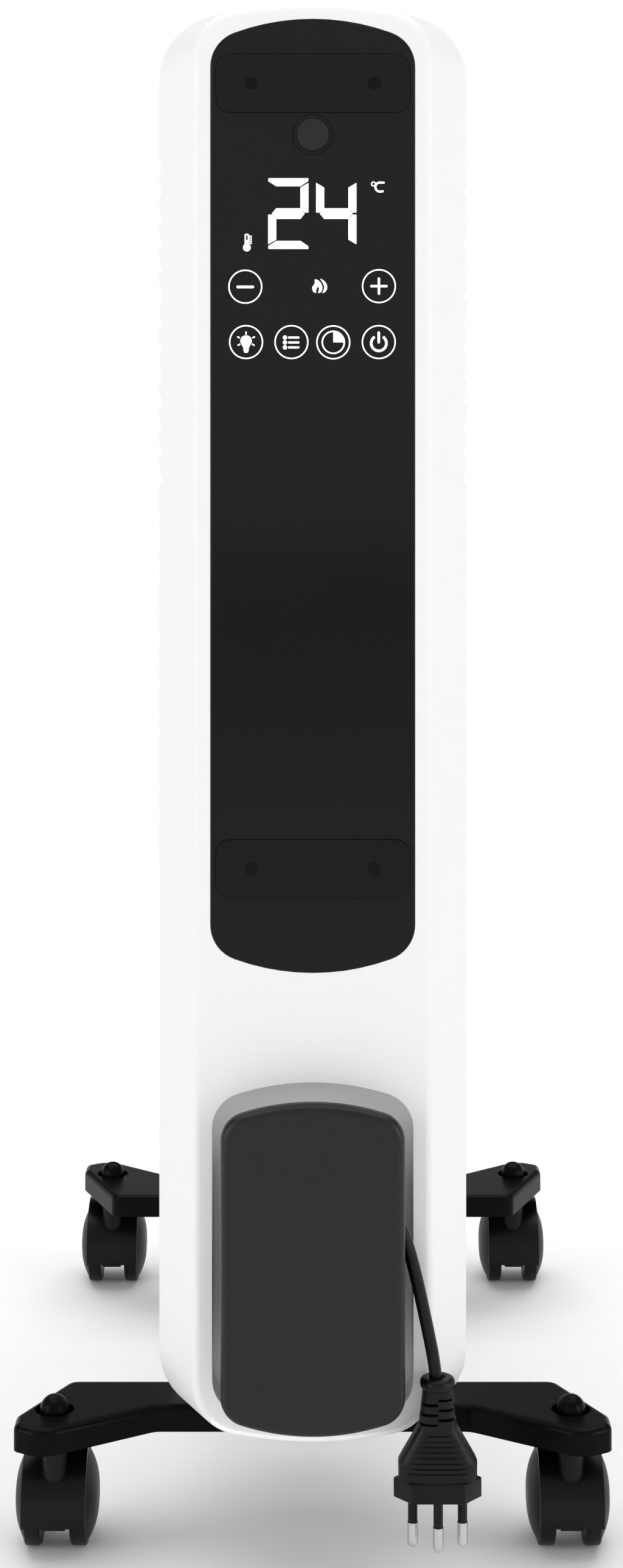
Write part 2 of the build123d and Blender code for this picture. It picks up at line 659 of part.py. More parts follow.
def foot(reach, screw_x, screw_r):
    """Foot moulding in the front foot's place: a bar, and two arms that sweep forwards to the stems."""
    bar_front = STEM_Y + BAR_TO_STEM - BAR_DEEP / 2 + reach
    right = [
        (62.5, bar_front),
        (105.0, STEM_Y - 23.1),
        (116.6, STEM_Y - 16.0),
        (116.6, STEM_Y - 5.5),
        (98.4, bar_front + BAR_DEEP),
    ]
    left = [(-x, y) for x, y in reversed(right)]
    plane = Plane(origin=(0, 0, FOOT_LOW))
    body = extrude(plane * Polygon(*right, *left, align=None), FOOT_HIGH - FOOT_LOW)
    for x, radius in ((62.5, 8.0), (105.0, 11.0), (116.6, 4.0), (98.4, 6.0)):
        upright = body.edges().filter_by(Axis.Z)
        body = fillet([e for e in upright if abs(abs(e.center().X) - x) < 0.05], radius)
    body = fillet(body.faces().sort_by(Axis.Z)[-1].edges(), FOOT_FILLET)
    for x in (-STEM_X, STEM_X):
        body -= post(x, STEM_Y, STEM_RECESS_R, FOOT_HIGH - STEM_RECESS_DEEP, FOOT_HIGH + 1)
        body -= post(x, STEM_Y, STEM_R, FOOT_LOW - 1, FOOT_HIGH)
    for x in (-screw_x, screw_x):
        body -= post(x, bar_front + BAR_DEEP / 2, screw_r, FOOT_LOW - 1, FOOT_HIGH + 1)
    return body


def front_foot():
    """Foot under the housing."""
    return foot(0.0, FOOT_SCREW_X, FOOT_SCREW_R + 0.1)


def rear_foot():
    """A longer foot turned round behind, with a saddle under the lower hub."""
    turned = Rot(0, 0, 180) * foot(REAR_REACH, U_BOLT_X, U_BOLT_R + 0.1)
    turned = Pos(0, REAR_STEM_Y + STEM_Y, 0) * turned
    saddle = block((-15, 15), (BAR_Y - 9.5, BAR_Y + 9.5), (FOOT_HIGH - 1, 86))
    return turned + (saddle - rod(0, HUB_LOW, COLLAR_R, BAR_Y - 12, BAR_Y + 12))


def u_bolt():
    """Threaded bow round the lower hub, down through the rear foot."""
    left = post(-U_BOLT_X, BAR_Y, U_BOLT_R, 38.0, HUB_LOW)
    right = post(U_BOLT_X, BAR_Y, U_BOLT_R, 38.0, HUB_LOW)
    ring = Pos(0, BAR_Y, HUB_LOW) * Rot(90, 0, 0) * Torus(U_BOLT_X, U_BOLT_R)
    bow = ring & block((-40, 40), (BAR_Y - 9, BAR_Y + 9), (HUB_LOW, HUB_LOW + 40))
    return left + right + bow


def wing_nuts():
    """Two wing nuts under the rear foot."""
    nuts = []
    for x in (-U_BOLT_X, U_BOLT_X):
        nut = post(x, BAR_Y, 5.0, 42.0, FOOT_LOW)
        for side in (-1, 1):
            wing = block((-1.2, 1.2), (4.0, 13.0), (38.0, 46.0))
            wing = fillet(wing.edges().filter_by(Axis.X), 2.5)
            nut += Pos(x, BAR_Y, 0) * Rot(0, 0, 90 * side - 90) * wing
        nuts.append(nut - post(x, BAR_Y, U_BOLT_R, 36, 50))
    return nuts


def foot_screws():
    """Two screws that hold the front foot to the housing."""
    screws = []
    for x in (-FOOT_SCREW_X, FOOT_SCREW_X):
        head = post(x, FRONT_BAR_Y, 2 * FOOT_SCREW_R, FOOT_LOW - 2.4, FOOT_LOW)
        screws.append(head + post(x, FRONT_BAR_Y, FOOT_SCREW_R, FOOT_LOW, 68.0))
    return screws


def wiring_harness():
    """Supply lead inside the drum and housing, element leads and the board-to-board cable."""
    supply = [(GLAND_X, GLAND_BACK, GLAND_Z), (10, -138, 79), (17, -131, 92), (17, -123.4, 213)]
    lead, _ = tube(supply, [7.0, 12.0], CORD_D)
    wires = [lead]
    for x, top in ((-ELEMENT_X, 198.0), (ELEMENT_X, 198.0)):
        wires.append(tube([(x, -123.2, HUB_LOW), (x, -128.0, 130.0), (x, -108.8, top)], [8.0], WIRE_D)[0])
    across = (-RIBBON_HALF, RIBBON_HALF)
    fold = (336, 336 + RIBBON_THICK)
    ribbon = block(across, (BOARD_REAR, BOARD_REAR + RIBBON_THICK), (336, 476))
    ribbon += block(across, (BOARD_REAR, POWER_FRONT), fold)
    ribbon += block(across, (POWER_FRONT, POWER_FRONT + RIBBON_THICK), (332, fold[1]))
    wires.append(ribbon)
    return wires


def castor_stems():
    """Four pressed-in stems with domed heads."""
    stems = []
    for x, y in stem_places():
        seat = FOOT_HIGH - STEM_RECESS_DEEP
        head = post(x, y, STEM_CAP_R, seat, FOOT_HIGH + 0.2)
        head += Pos(x, y, FOOT_HIGH + 0.2) * Sphere(STEM_CAP_R)
        head &= block((x - 9, x + 9), (y - 9, y + 9), (seat, 80))
        stems.append(head + post(x, y, STEM_R, 33.5, seat))
    return stems


def stem_places():
    """Axes of the four castor stems."""
    return [(side * STEM_X, y) for y in (STEM_Y, REAR_STEM_Y) for side in (-1, 1)]


def castor_hood():
    """Hood over a twin wheel: fender, web with the axle's hole, and the stem's boss, stem at x = y = 0."""
    fender = shaft(TRAIL, WHEEL_R, HOOD_OUT, -HOOD_HALF, HOOD_HALF)
    fender -= shaft(TRAIL, WHEEL_R, HOOD_IN, -HOOD_HALF, HOOD_HALF)
    wedge = Polygon((0, 0), (-60, -14), (-60, 60), (60, 60), (60, 50.3), align=None)
    plane = Plane(origin=(0, TRAIL, WHEEL_R), x_dir=(0, 1, 0), z_dir=(1, 0, 0))
    fender &= extrude(plane * wedge, 20, both=True)
    web = shaft(TRAIL, WHEEL_R, HOOD_IN + 0.6, -WEB_HALF, WEB_HALF)
    web -= block((-10, 10), (-30, 60), (-10, 12.5))
    web -= block((-10, 10), (TRAIL + 8, 60), (-10, 30))
    boss = post(0, 0, BOSS_R, 33.0, 47.6) + Pos(0, 0, 33.0) * Sphere(BOSS_R)
    body = fender + web + boss
    body -= post(0, 0, STEM_R + 0.05, 33.0, 50)
    return body - shaft(TRAIL, WHEEL_R, AXLE_R, -10, 10)


def castor_axle():
    """Axle through the hood and both wheels, stem at x = y = 0."""
    return shaft(TRAIL, WHEEL_R, AXLE_R, -AXLE_END, AXLE_END)


def castor_wheel(side):
    """One wheel with its tread and bulging cover disc, on the given side of the stem."""
    bore = AXLE_R + 0.05
    profile = [
        Line((WHEEL_IN, bore), (WHEEL_IN, WHEEL_R - 0.8)),
        Line((WHEEL_IN, WHEEL_R - 0.8), (WHEEL_IN + 0.8, WHEEL_R)),
        Line((WHEEL_IN + 0.8, WHEEL_R), (WHEEL_OUT - 0.6, WHEEL_R)),
        Line((WHEEL_OUT - 0.6, WHEEL_R), (WHEEL_OUT, WHEEL_R - 0.6)),
        Line((WHEEL_OUT, WHEEL_R - 0.6), (WHEEL_OUT, DISC_R)),
        ThreePointArc((WHEEL_OUT, DISC_R), (WHEEL_FACE - 0.9, DISC_R * 0.6), (WHEEL_FACE, HUB_FLAT_R)),
        Line((WHEEL_FACE, HUB_FLAT_R), (WHEEL_FACE, 0)),
        Line((WHEEL_FACE, 0), (AXLE_END + 0.2, 0)),
        Line((AXLE_END + 0.2, 0), (AXLE_END + 0.2, bore)),
        Line((AXLE_END + 0.2, bore), (WHEEL_IN, bore)),
    ]
    wheel = revolve(make_face(profile), Axis.X)
    wheel = Pos(0, TRAIL, WHEEL_R) * wheel
    return wheel if side > 0 else mirror(wheel, Plane.YZ)


def write(name, shape):
    """Write one piece, or a group of equal pieces, to its own file."""
    solids = shape if isinstance(shape, list) else [shape]
    solids = [s for piece in solids for s in piece.solids()]
    export_step(Compound(children=solids) if len(solids) > 1 else solids[0], f"parts/{name}.step")


def main():
    """Make and write every piece."""
    os.makedirs("parts", exist_ok=True)
    single = [
        front_housing,
        rear_housing,
        housing_screws,
        control_panel,
        trim_plates,
        trim_plugs,
        power_button,
        button_switch,
        display_module,
        control_board,
        power_board,
        relays,
        terminal_block,
        tilt_switch,
        room_sensor,
        winder_core,
        winder_cover,
        winder_screws,
        cord_gland,
        cord_coil,
        cord_tail,
        plug_body,
        plug_pins,
        pin_sleeves,
        hub_collars,
        hub_end_caps,
        heating_element,
        element_flange,
        filler_plug,
        thermal_cutout,
        front_foot,
        rear_foot,
        u_bolt,
        wing_nuts,
        foot_screws,
        castor_stems,
        wiring_harness,
    ]
    for make in single:
        write(make.__name__, make())
    one_fin = fin()
    for index in range(FIN_COUNT):
        write(f"fin_{index + 1}", Pos(0, fin_y(index), 0) * one_fin)
    hood, axle = castor_hood(), castor_axle()
    wheels = {"inner": castor_wheel(-1), "outer": castor_wheel(1)}
    for row, y in (("front", STEM_Y), ("rear", REAR_STEM_Y)):
        for side, sign in (("left", -1), ("right", 1)):
            place = Pos(sign * STEM_X, y, 0)
            write(f"castor_hood_{row}_{side}", place * hood)
            write(f"castor_axle_{row}_{side}", place * axle)
            for where, wheel in wheels.items():
                turned = wheel if sign > 0 else mirror(wheel, Plane.YZ)
                write(f"wheel_{row}_{side}_{where}", place * turned)


main()
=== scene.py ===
"""Looks of an oil filled radiator heater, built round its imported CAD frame, in metres."""

import logging
import math
from dataclasses import dataclass, field
from enum import Enum
from typing import Any, Iterable, Sequence

import bmesh
import bpy
from mathutils import Matrix, Vector

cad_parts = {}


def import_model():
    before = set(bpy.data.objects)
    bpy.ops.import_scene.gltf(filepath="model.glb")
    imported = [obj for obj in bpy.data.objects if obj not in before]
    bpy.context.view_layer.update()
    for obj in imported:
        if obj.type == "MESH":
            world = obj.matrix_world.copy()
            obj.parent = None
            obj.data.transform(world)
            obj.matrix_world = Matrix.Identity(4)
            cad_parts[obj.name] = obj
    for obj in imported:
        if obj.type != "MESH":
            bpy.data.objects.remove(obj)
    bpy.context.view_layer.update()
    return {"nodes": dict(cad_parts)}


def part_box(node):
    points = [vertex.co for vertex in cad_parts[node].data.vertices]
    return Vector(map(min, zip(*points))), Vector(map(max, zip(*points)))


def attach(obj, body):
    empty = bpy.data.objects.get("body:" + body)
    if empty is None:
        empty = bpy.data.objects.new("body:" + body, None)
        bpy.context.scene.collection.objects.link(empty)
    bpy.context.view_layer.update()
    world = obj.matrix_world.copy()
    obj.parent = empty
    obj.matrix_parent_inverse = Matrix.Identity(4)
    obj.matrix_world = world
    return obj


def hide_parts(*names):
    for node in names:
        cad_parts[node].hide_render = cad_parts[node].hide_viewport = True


log = logging.getLogger("radiator")
MM = 0.001
Point = tuple[float, float]
Colour = tuple[float, float, float]
Triple = tuple[float, float, float]


class Sides(Enum):
    """The sides of a symbol that is drawn left and right of its middle."""

    LEFT = -1
    RIGHT = 1


# ---------------------------------------------------------------- shader maths


class Wire:
    """One shader socket. An expression on wires adds the Math nodes that it needs."""

    def __init__(self, graph: "Graph", socket: bpy.types.NodeSocket) -> None:
        """Keep the graph and the output socket.

        Args:
            graph: the tree that the socket belongs to.
            socket: the output that this wire starts from.
        """
        self.graph = graph
        self.socket = socket

    def _math(self, operation: str, first: Any, second: Any) -> "Wire":
        """Add one Math node.

        Args:
            operation: Blender's name of the operation.
            first: the left value, a wire or a number.
            second: the right value, a wire or a number.

        Returns:
            The node's result.
        """
        return self.graph.add("ShaderNodeMath", {"operation": operation}, {0: first, 1: second})

    def __add__(self, other: Any) -> "Wire":
        """Sum."""
        return self._math("ADD", self, other)

    __radd__ = __add__

    def __sub__(self, other: Any) -> "Wire":
        """Difference."""
        return self._math("SUBTRACT", self, other)

    def __rsub__(self, other: Any) -> "Wire":
        """Difference from a number."""
        return self._math("SUBTRACT", other, self)

    def __mul__(self, other: Any) -> "Wire":
        """Product."""
        return self._math("MULTIPLY", self, other)

    __rmul__ = __mul__

    def __pow__(self, other: Any) -> "Wire":
        """Power."""
        return self._math("POWER", self, other)


class Graph:
    """The node tree of one material or world."""

    def __init__(self, owner: bpy.types.Material | bpy.types.World) -> None:
        """Start an empty tree in a material or a world.

        Args:
            owner: the material or world whose nodes are replaced.
        """
        self.owner = owner
        owner.use_nodes = True
        self.tree = owner.node_tree
        self.tree.nodes.clear()

    @classmethod
    def material(cls, name: str) -> "Graph":
        """Start an empty material of that name."""
        return cls(bpy.data.materials.new(name))

    def node(self, kind: str, settings: dict[str, Any], values: dict[Any, Any]) -> bpy.types.Node:
        """Add a node: its settings first, then its sockets.

        Args:
            kind: the node's type.
            settings: attributes of the node; "stops" are a ramp's (position, colour) pairs.
            values: socket name or number to a wire or a plain value.

        Returns:
            The node.
        """
        made = self.tree.nodes.new(kind)
        for key, value in settings.items():
            if key == "stops":
                ramp = made.color_ramp
                for element, (position, colour) in zip(ramp.elements, value):
                    element.position, element.color = position, colour
                for position, colour in value[2:]:
                    ramp.elements.new(position).color = colour
            else:
                setattr(made, key, value)
        for key, value in values.items():
            socket = made.inputs[key]
            if isinstance(value, Wire):
                self.tree.links.new(value.socket, socket)
            else:
                socket.default_value = value
        return made

    def add(
        self, kind: str, settings: dict[str, Any], values: dict[Any, Any], output: Any = 0
    ) -> Wire:
        """Add a node and read one of its outputs.

        Args:
            kind: the node's type.
            settings: attributes of the node.
            values: socket name or number to a wire or a plain value.
            output: name or number of the output.

        Returns:
            A wire from that output.
        """
        return Wire(self, self.node(kind, settings, values).outputs[output])

    def place(self) -> Wire:
        """Position on the object, in metres."""
        return self.add("ShaderNodeTexCoord", {}, {}, "Object")

    def noise(self, size: float, detail: float = 2.0, rough: float = 0.5) -> Wire:
        """Noise from 0 to 1.

        Args:
            size: about how far the features are across, in metres.
            detail: number of finer layers.
            rough: how strong the finer layers are.

        Returns:
            The noise's value.
        """
        values = {"Vector": self.place(), "Scale": 1.0 / size, "Detail": detail, "Roughness": rough}
        return self.add("ShaderNodeTexNoise", {}, values)

    def spread(self, source: Wire, low: float, high: float) -> Wire:
        """Map a 0 to 1 wire to low to high."""
        return source * (high - low) + low

    def blend(self, factor: Wire, first: Colour, second: Colour) -> Wire:
        """Mix two colours.

        Args:
            factor: 0 for the first colour, 1 for the second.
            first: the one colour.
            second: the other colour.

        Returns:
            The mixed colour.
        """
        settings = {"data_type": "RGBA"}
        values = {0: factor, 6: (*first, 1.0), 7: (*second, 1.0)}
        return self.add("ShaderNodeMix", settings, values, 2)

    def bump(self, height: Wire, strength: float, depth: float) -> Wire:
        """Normal from a height.

        Args:
            height: the height, from 0 to 1.
            strength: how strongly it shows.
            depth: the height of 1 in metres.

        Returns:
            The normal.
        """
        values = {"Strength": strength, "Distance": depth, "Height": height}
        return self.add("ShaderNodeBump", {}, values)

    def close(self, values: dict[str, Any]) -> bpy.types.Material:
        """End the tree in a Principled surface.

        Args:
            values: the surface's inputs by name.

        Returns:
            The finished material.
        """
        surface = self.add("ShaderNodeBsdfPrincipled", {}, values)
        self.node("ShaderNodeOutputMaterial", {}, {"Surface": surface})
        return self.owner


# ---------------------------------------------------------------- finishes


def shade(colour: Colour, factor: float) -> Colour:
    """The colour made lighter or darker by a factor."""
    return tuple(min(1.0, channel * factor) for channel in colour)


@dataclass(frozen=True)
class Moulded:
    """Moulded plastic: fine spark grain, slight cloudiness, an uneven gloss and optional painted light
    in one recess.
    """

    name: str
    colour: Colour
    rough: float
    grain: float = 0.35 * MM
    relief: float = 0.02 * MM
    cloud: float = 0.04
    coat: float = 0.0
    specular: float = 0.5
    painted_light_pocket: Triple | None = None
    painted_light_lift: float = 1.24

    def _painted_light_mask(self, graph: Graph) -> Wire:
        """Mask of the recess that gets painted light, whose half width, top and front are given.

        Args:
            graph: the tree to add to.

        Returns:
            1 inside the recess, 0 elsewhere.
        """
        half, top, front = self.painted_light_pocket
        place = graph.place()
        across = graph.add("ShaderNodeSeparateXYZ", {}, {0: place}, "X")
        depth = graph.add("ShaderNodeSeparateXYZ", {}, {0: place}, "Y")
        height = graph.add("ShaderNodeSeparateXYZ", {}, {0: place}, "Z")
        wide = graph.add("ShaderNodeMath", {"operation": "ABSOLUTE"}, {0: across})
        inside = graph.add("ShaderNodeMath", {"operation": "LESS_THAN"}, {0: wide, 1: half})
        below = graph.add("ShaderNodeMath", {"operation": "LESS_THAN"}, {0: height, 1: top})
        behind = graph.add("ShaderNodeMath", {"operation": "GREATER_THAN"}, {0: depth, 1: front})
        return inside * below * behind

    def make(self) -> bpy.types.Material:
        """Build the material.

        Returns:
            The material.
        """
        graph = Graph.material(self.name)
        clouds = graph.noise(40 * MM, 3.0)
        grain = graph.noise(self.grain, 2.0, 0.6)
        dark, light = shade(self.colour, 1 - self.cloud), shade(self.colour, 1 + self.cloud)
        handling = graph.noise(14 * MM, 4.0, 0.65)
        rough = graph.spread(handling, self.rough * 0.85, self.rough * 1.15) + grain * 0.04
        colour: Any = graph.blend(clouds, dark, light)
        # painted light: inside the recess the colour is lifted to stand in for light that the recess
        # walls and the cover shade out
        if self.painted_light_pocket is not None:
            settings = {"data_type": "RGBA"}
            bright = (*shade(self.colour, self.painted_light_lift), 1.0)
            mixed = {0: self._painted_light_mask(graph), 6: colour, 7: bright}
            colour = graph.add("ShaderNodeMix", settings, mixed, 2)
        values = {
            "Base Color": colour,
            "Roughness": rough,
            "Coat Weight": self.coat,
            "Coat Roughness": 0.12,
            "Specular IOR Level": self.specular,
            "Normal": graph.bump(grain, 0.35, self.relief),
        }
        return graph.close(values)


@dataclass(frozen=True)
class Glass:
    """Glass printed black on its rear: very smooth, with faint dust and wipe marks."""

    name: str
    colour: Colour = (0.005, 0.005, 0.0052)
    rough: float = 0.09

    def make(self) -> bpy.types.Material:
        """Build the material.

        Returns:
            The material.
        """
        graph = Graph.material(self.name)
        wipe = graph.noise(30 * MM, 5.0, 0.7)
        dust = graph.noise(0.6 * MM, 1.0) ** 6
        tint = graph.noise(90 * MM, 1.0)
        values = {
            "Base Color": graph.blend(tint, self.colour, shade(self.colour, 1.18)),
            "Roughness": graph.spread(wipe, self.rough * 0.7, self.rough * 1.5) + dust * 0.1,
            "IOR": 1.5,
            "Specular IOR Level": 0.16,
            "Normal": graph.bump(graph.noise(160 * MM, 0.0), 0.05, 0.1 * MM),
        }
        return graph.close(values)


@dataclass(frozen=True)
class PowderCoat:
    """Powder coated steel: orange peel and a soft gloss."""

    name: str
    colour: Colour
    rough: float = 0.38

    def make(self) -> bpy.types.Material:
        """Build the material.

        Returns:
            The material.
        """
        graph = Graph.material(self.name)
        peel = graph.noise(1.6 * MM, 2.0, 0.45)
        fine = graph.noise(0.3 * MM, 1.0)
        tone = graph.noise(120 * MM, 2.0)
        values = {
            "Base Color": graph.blend(tone, shade(self.colour, 0.97), shade(self.colour, 1.02)),
            "Roughness": graph.spread(fine, self.rough * 0.85, self.rough * 1.2),
            "Coat Weight": 0.12,
            "Coat Roughness": 0.2,
            "Normal": graph.bump(peel + fine * 0.3, 0.3, 0.06 * MM),
        }
        return graph.close(values)


@dataclass(frozen=True)
class Plated:
    """Bright or brushed metal with fine turning marks along one axis."""

    name: str
    colour: Colour
    rough: float
    stretch: Triple = (1.0, 1.0, 40.0)
    marks: float = 260.0

    def make(self) -> bpy.types.Material:
        """Build the material.

        Returns:
            The material.
        """
        graph = Graph.material(self.name)
        settings = {"operation": "MULTIPLY"}
        scaled = graph.add("ShaderNodeVectorMath", settings, {0: graph.place(), 1: self.stretch})
        inputs = {"Vector": scaled, "Scale": self.marks, "Detail": 3.0}
        marks = graph.add("ShaderNodeTexNoise", {}, inputs)
        stain = graph.noise(6 * MM, 4.0, 0.6)
        values = {
            "Base Color": graph.blend(stain, shade(self.colour, 0.86), self.colour),
            "Metallic": 1.0,
            "Roughness": graph.spread(marks, self.rough * 0.7, self.rough * 1.4) + stain * 0.04,
            "Normal": graph.bump(marks, 0.12, 0.02 * MM),
        }
        return graph.close(values)


@dataclass(frozen=True)
class Lit:
    """White light through the panel's printed windows, slightly uneven."""

    name: str
    colour: Colour
    low: float
    high: float

    def make(self) -> bpy.types.Material:
        """Build the material.

        Returns:
            The material.
        """
        graph = Graph.material(self.name)
        glow = graph.noise(9 * MM, 2.0)
        dim, bright = shade(self.colour, self.low), shade(self.colour, self.high)
        values = {
            "Base Color": graph.blend(glow, shade(self.colour, 0.9), self.colour),
            "Roughness": graph.spread(glow, 0.3, 0.4),
            "Emission Color": graph.blend(glow, dim, bright),
            "Emission Strength": 1.0,
        }
        return graph.close(values)


@dataclass(frozen=True)
class CircuitBoard:
    """Solder mask with copper tracks showing as a lighter pattern."""

    name: str
    mask: Colour = (0.02, 0.12, 0.05)
    track: Colour = (0.05, 0.2, 0.08)
    pitch: float = 240.0
    share: float = 0.42

    def make(self) -> bpy.types.Material:
        """Build the material.

        Returns:
            The material.
        """
        graph = Graph.material(self.name)
        settings = {"feature": "F1", "distance": "MANHATTAN"}
        inputs = {"Vector": graph.place(), "Scale": self.pitch}
        cells = graph.add("ShaderNodeTexVoronoi", settings, inputs)
        mask = graph.add("ShaderNodeMath", {"operation": "GREATER_THAN"}, {0: cells, 1: self.share})
        values = {
            "Base Color": graph.blend(mask, self.mask, self.track),
            "Roughness": graph.spread(mask, 0.35, 0.28),
            "Normal": graph.bump(mask, 0.4, 0.05 * MM),
        }
        return graph.close(values)


@dataclass(frozen=True)
class Studio:
    """Pale matt floor of the studio."""

    name: str
    colour: Colour = (0.955, 0.955, 0.955)

    def make(self) -> bpy.types.Material:
        """Build the material.

        Returns:
            The material.
        """
        graph = Graph.material(self.name)
        tone = graph.noise(300 * MM, 2.0)
        values = {
            "Base Color": graph.blend(tone, shade(self.colour, 0.99), self.colour),
            "Roughness": graph.spread(tone, 0.8, 0.9),
            "Specular IOR Level": 0.2,
        }
        return graph.close(values)


class Finishes:
    """Every finish of the heater, made once."""

    def __init__(self) -> None:
        """Build the materials."""
        # painted light: the cord bay of the housing gets a lighter colour in place of the shade inside
        # the recess
        painted_light_bay = (0.0392, 0.1952, -0.1733)
        white = (0.785, 0.785, 0.785)
        self.white = Moulded("white_shell", white, 0.4, cloud=0.008, painted_light_pocket=painted_light_bay).make()
        rear = (0.785, 0.785, 0.79)
        self.rear_white = Moulded("white_rear_shell", rear, 0.5, cloud=0.012).make()
        self.glass = Glass("black_glass").make()
        trim = (0.0045, 0.0045, 0.0047)
        self.trim = Moulded("raised_trim", trim, 0.14, relief=0.004 * MM, specular=0.15).make()
        dot = (0.003, 0.003, 0.003)
        self.plug_dot = Moulded("dark_plug", dot, 0.5, specular=0.1).make()
        grey = (0.016, 0.016, 0.0165)
        self.button = Moulded("button_grey", grey, 0.55, grain=0.25 * MM, specular=0.2).make()
        cover = (0.0105, 0.0105, 0.0107)
        self.cover = Moulded("cover_grey", cover, 0.36, relief=0.012 * MM, specular=0.25).make()
        self.drum = Moulded("drum_black", (0.008, 0.008, 0.008), 0.5, specular=0.2).make()
        foot = {"grain": 0.5 * MM, "relief": 0.008 * MM, "specular": 0.05}
        self.foot = Moulded("foot_black", (0.003, 0.003, 0.0032), 0.24, **foot).make()
        castor = (0.0024, 0.0024, 0.0025)
        self.castor = Moulded("castor_black", castor, 0.3, grain=0.4 * MM, specular=0.18).make()
        tread = (0.0025, 0.0025, 0.0026)
        self.tread = Moulded("wheel_black", tread, 0.42, grain=0.6 * MM, specular=0.16).make()
        cord = (0.0026, 0.0026, 0.0028)
        self.cord = Moulded("cord_rubber", cord, 0.34, grain=0.8 * MM, specular=0.2).make()
        plug = (0.0028, 0.0028, 0.003)
        self.plug = Moulded("plug_rubber", plug, 0.38, grain=0.5 * MM, specular=0.2).make()
        self.part = Moulded("part_black", (0.02, 0.02, 0.021), 0.5, specular=0.3).make()
        self.coat = PowderCoat("fin_powder_coat", (0.8, 0.805, 0.81)).make()
        self.pin = Plated("pin_plating", (0.6, 0.6, 0.61), 0.16).make()
        self.zinc = Plated("zinc_plating", (0.6, 0.61, 0.62), 0.3).make()
        self.element = Plated("element_sheath", (0.4, 0.39, 0.37), 0.4, (40.0, 1.0, 40.0)).make()
        self.brass = Plated("brass_turned", (0.72, 0.52, 0.22), 0.28, (1.0, 40.0, 1.0)).make()
        self.lit = Lit("lit_white", (0.93, 0.93, 0.93), 0.84, 0.94).make()
        self.board = CircuitBoard("circuit_board").make()
        self.floor = Studio("studio_floor").make()


# ---------------------------------------------------------------- mesh helpers


def finish_piece(
    name: str, mesh: bmesh.types.BMesh, material: bpy.types.Material, smooth: float | None = None
) -> bpy.types.Object:
    """Turn a bmesh into a piece of the scene.

    Args:
        name: the piece's name.
        mesh: the geometry, freed here.
        material: its finish.
        smooth: shade smooth below this angle in degrees, or flat when None.

    Returns:
        The new object.
    """
    bmesh.ops.recalc_face_normals(mesh, faces=mesh.faces)
    data = bpy.data.meshes.new(name)
    mesh.to_mesh(data)
    mesh.free()
    if smooth is not None:
        data.shade_smooth()
        data.set_sharp_from_angle(angle=math.radians(smooth))
    data.materials.append(material)
    made = bpy.data.objects.new(name, data)
    bpy.context.scene.collection.objects.link(made)
    return made


def loft_rings(mesh: bmesh.types.BMesh, rings: Sequence[Sequence[Vector]]) -> None:
    """Skin closed rings of equal point counts and cap both ends.

    Args:
        mesh: the geometry to add to.
        rings: the rings in order.
    """
    rows = [[mesh.verts.new(point) for point in ring] for ring in rings]
    count = len(rows[0])
    for low, high in zip(rows, rows[1:]):
        for i in range(count):
            j = (i + 1) % count
            mesh.faces.new((low[i], low[j], high[j], high[i]))
    mesh.faces.new(list(reversed(rows[0])))
    mesh.faces.new(rows[-1])


def smooth_outline(points: Sequence[Point], steps: int = 6) -> list[Point]:
    """Closed Catmull-Rom curve through the points.

    Args:
        points: the points in order.
        steps: how many points each span gets.

    Returns:
        The curve's points.
    """
    out = []
    count = len(points)
    for i in range(count):
        before, here, after, beyond = (Vector(points[(i + k) % count]) for k in (-1, 0, 1, 2))
        for step in range(steps):
            t = step / steps
            value = 0.5 * (
                2 * here
                + (after - before) * t
                + (2 * before - 5 * here + 4 * after - beyond) * t**2
                + (3 * here - before - 3 * after + beyond) * t**3
            )
            out.append((value.x, value.y))
    return out


def on_circle(centre: Point, radius: float, angle: float) -> Point:
    """The point at an angle, in radians, on a circle."""
    return (centre[0] + radius * math.cos(angle), centre[1] + radius * math.sin(angle))


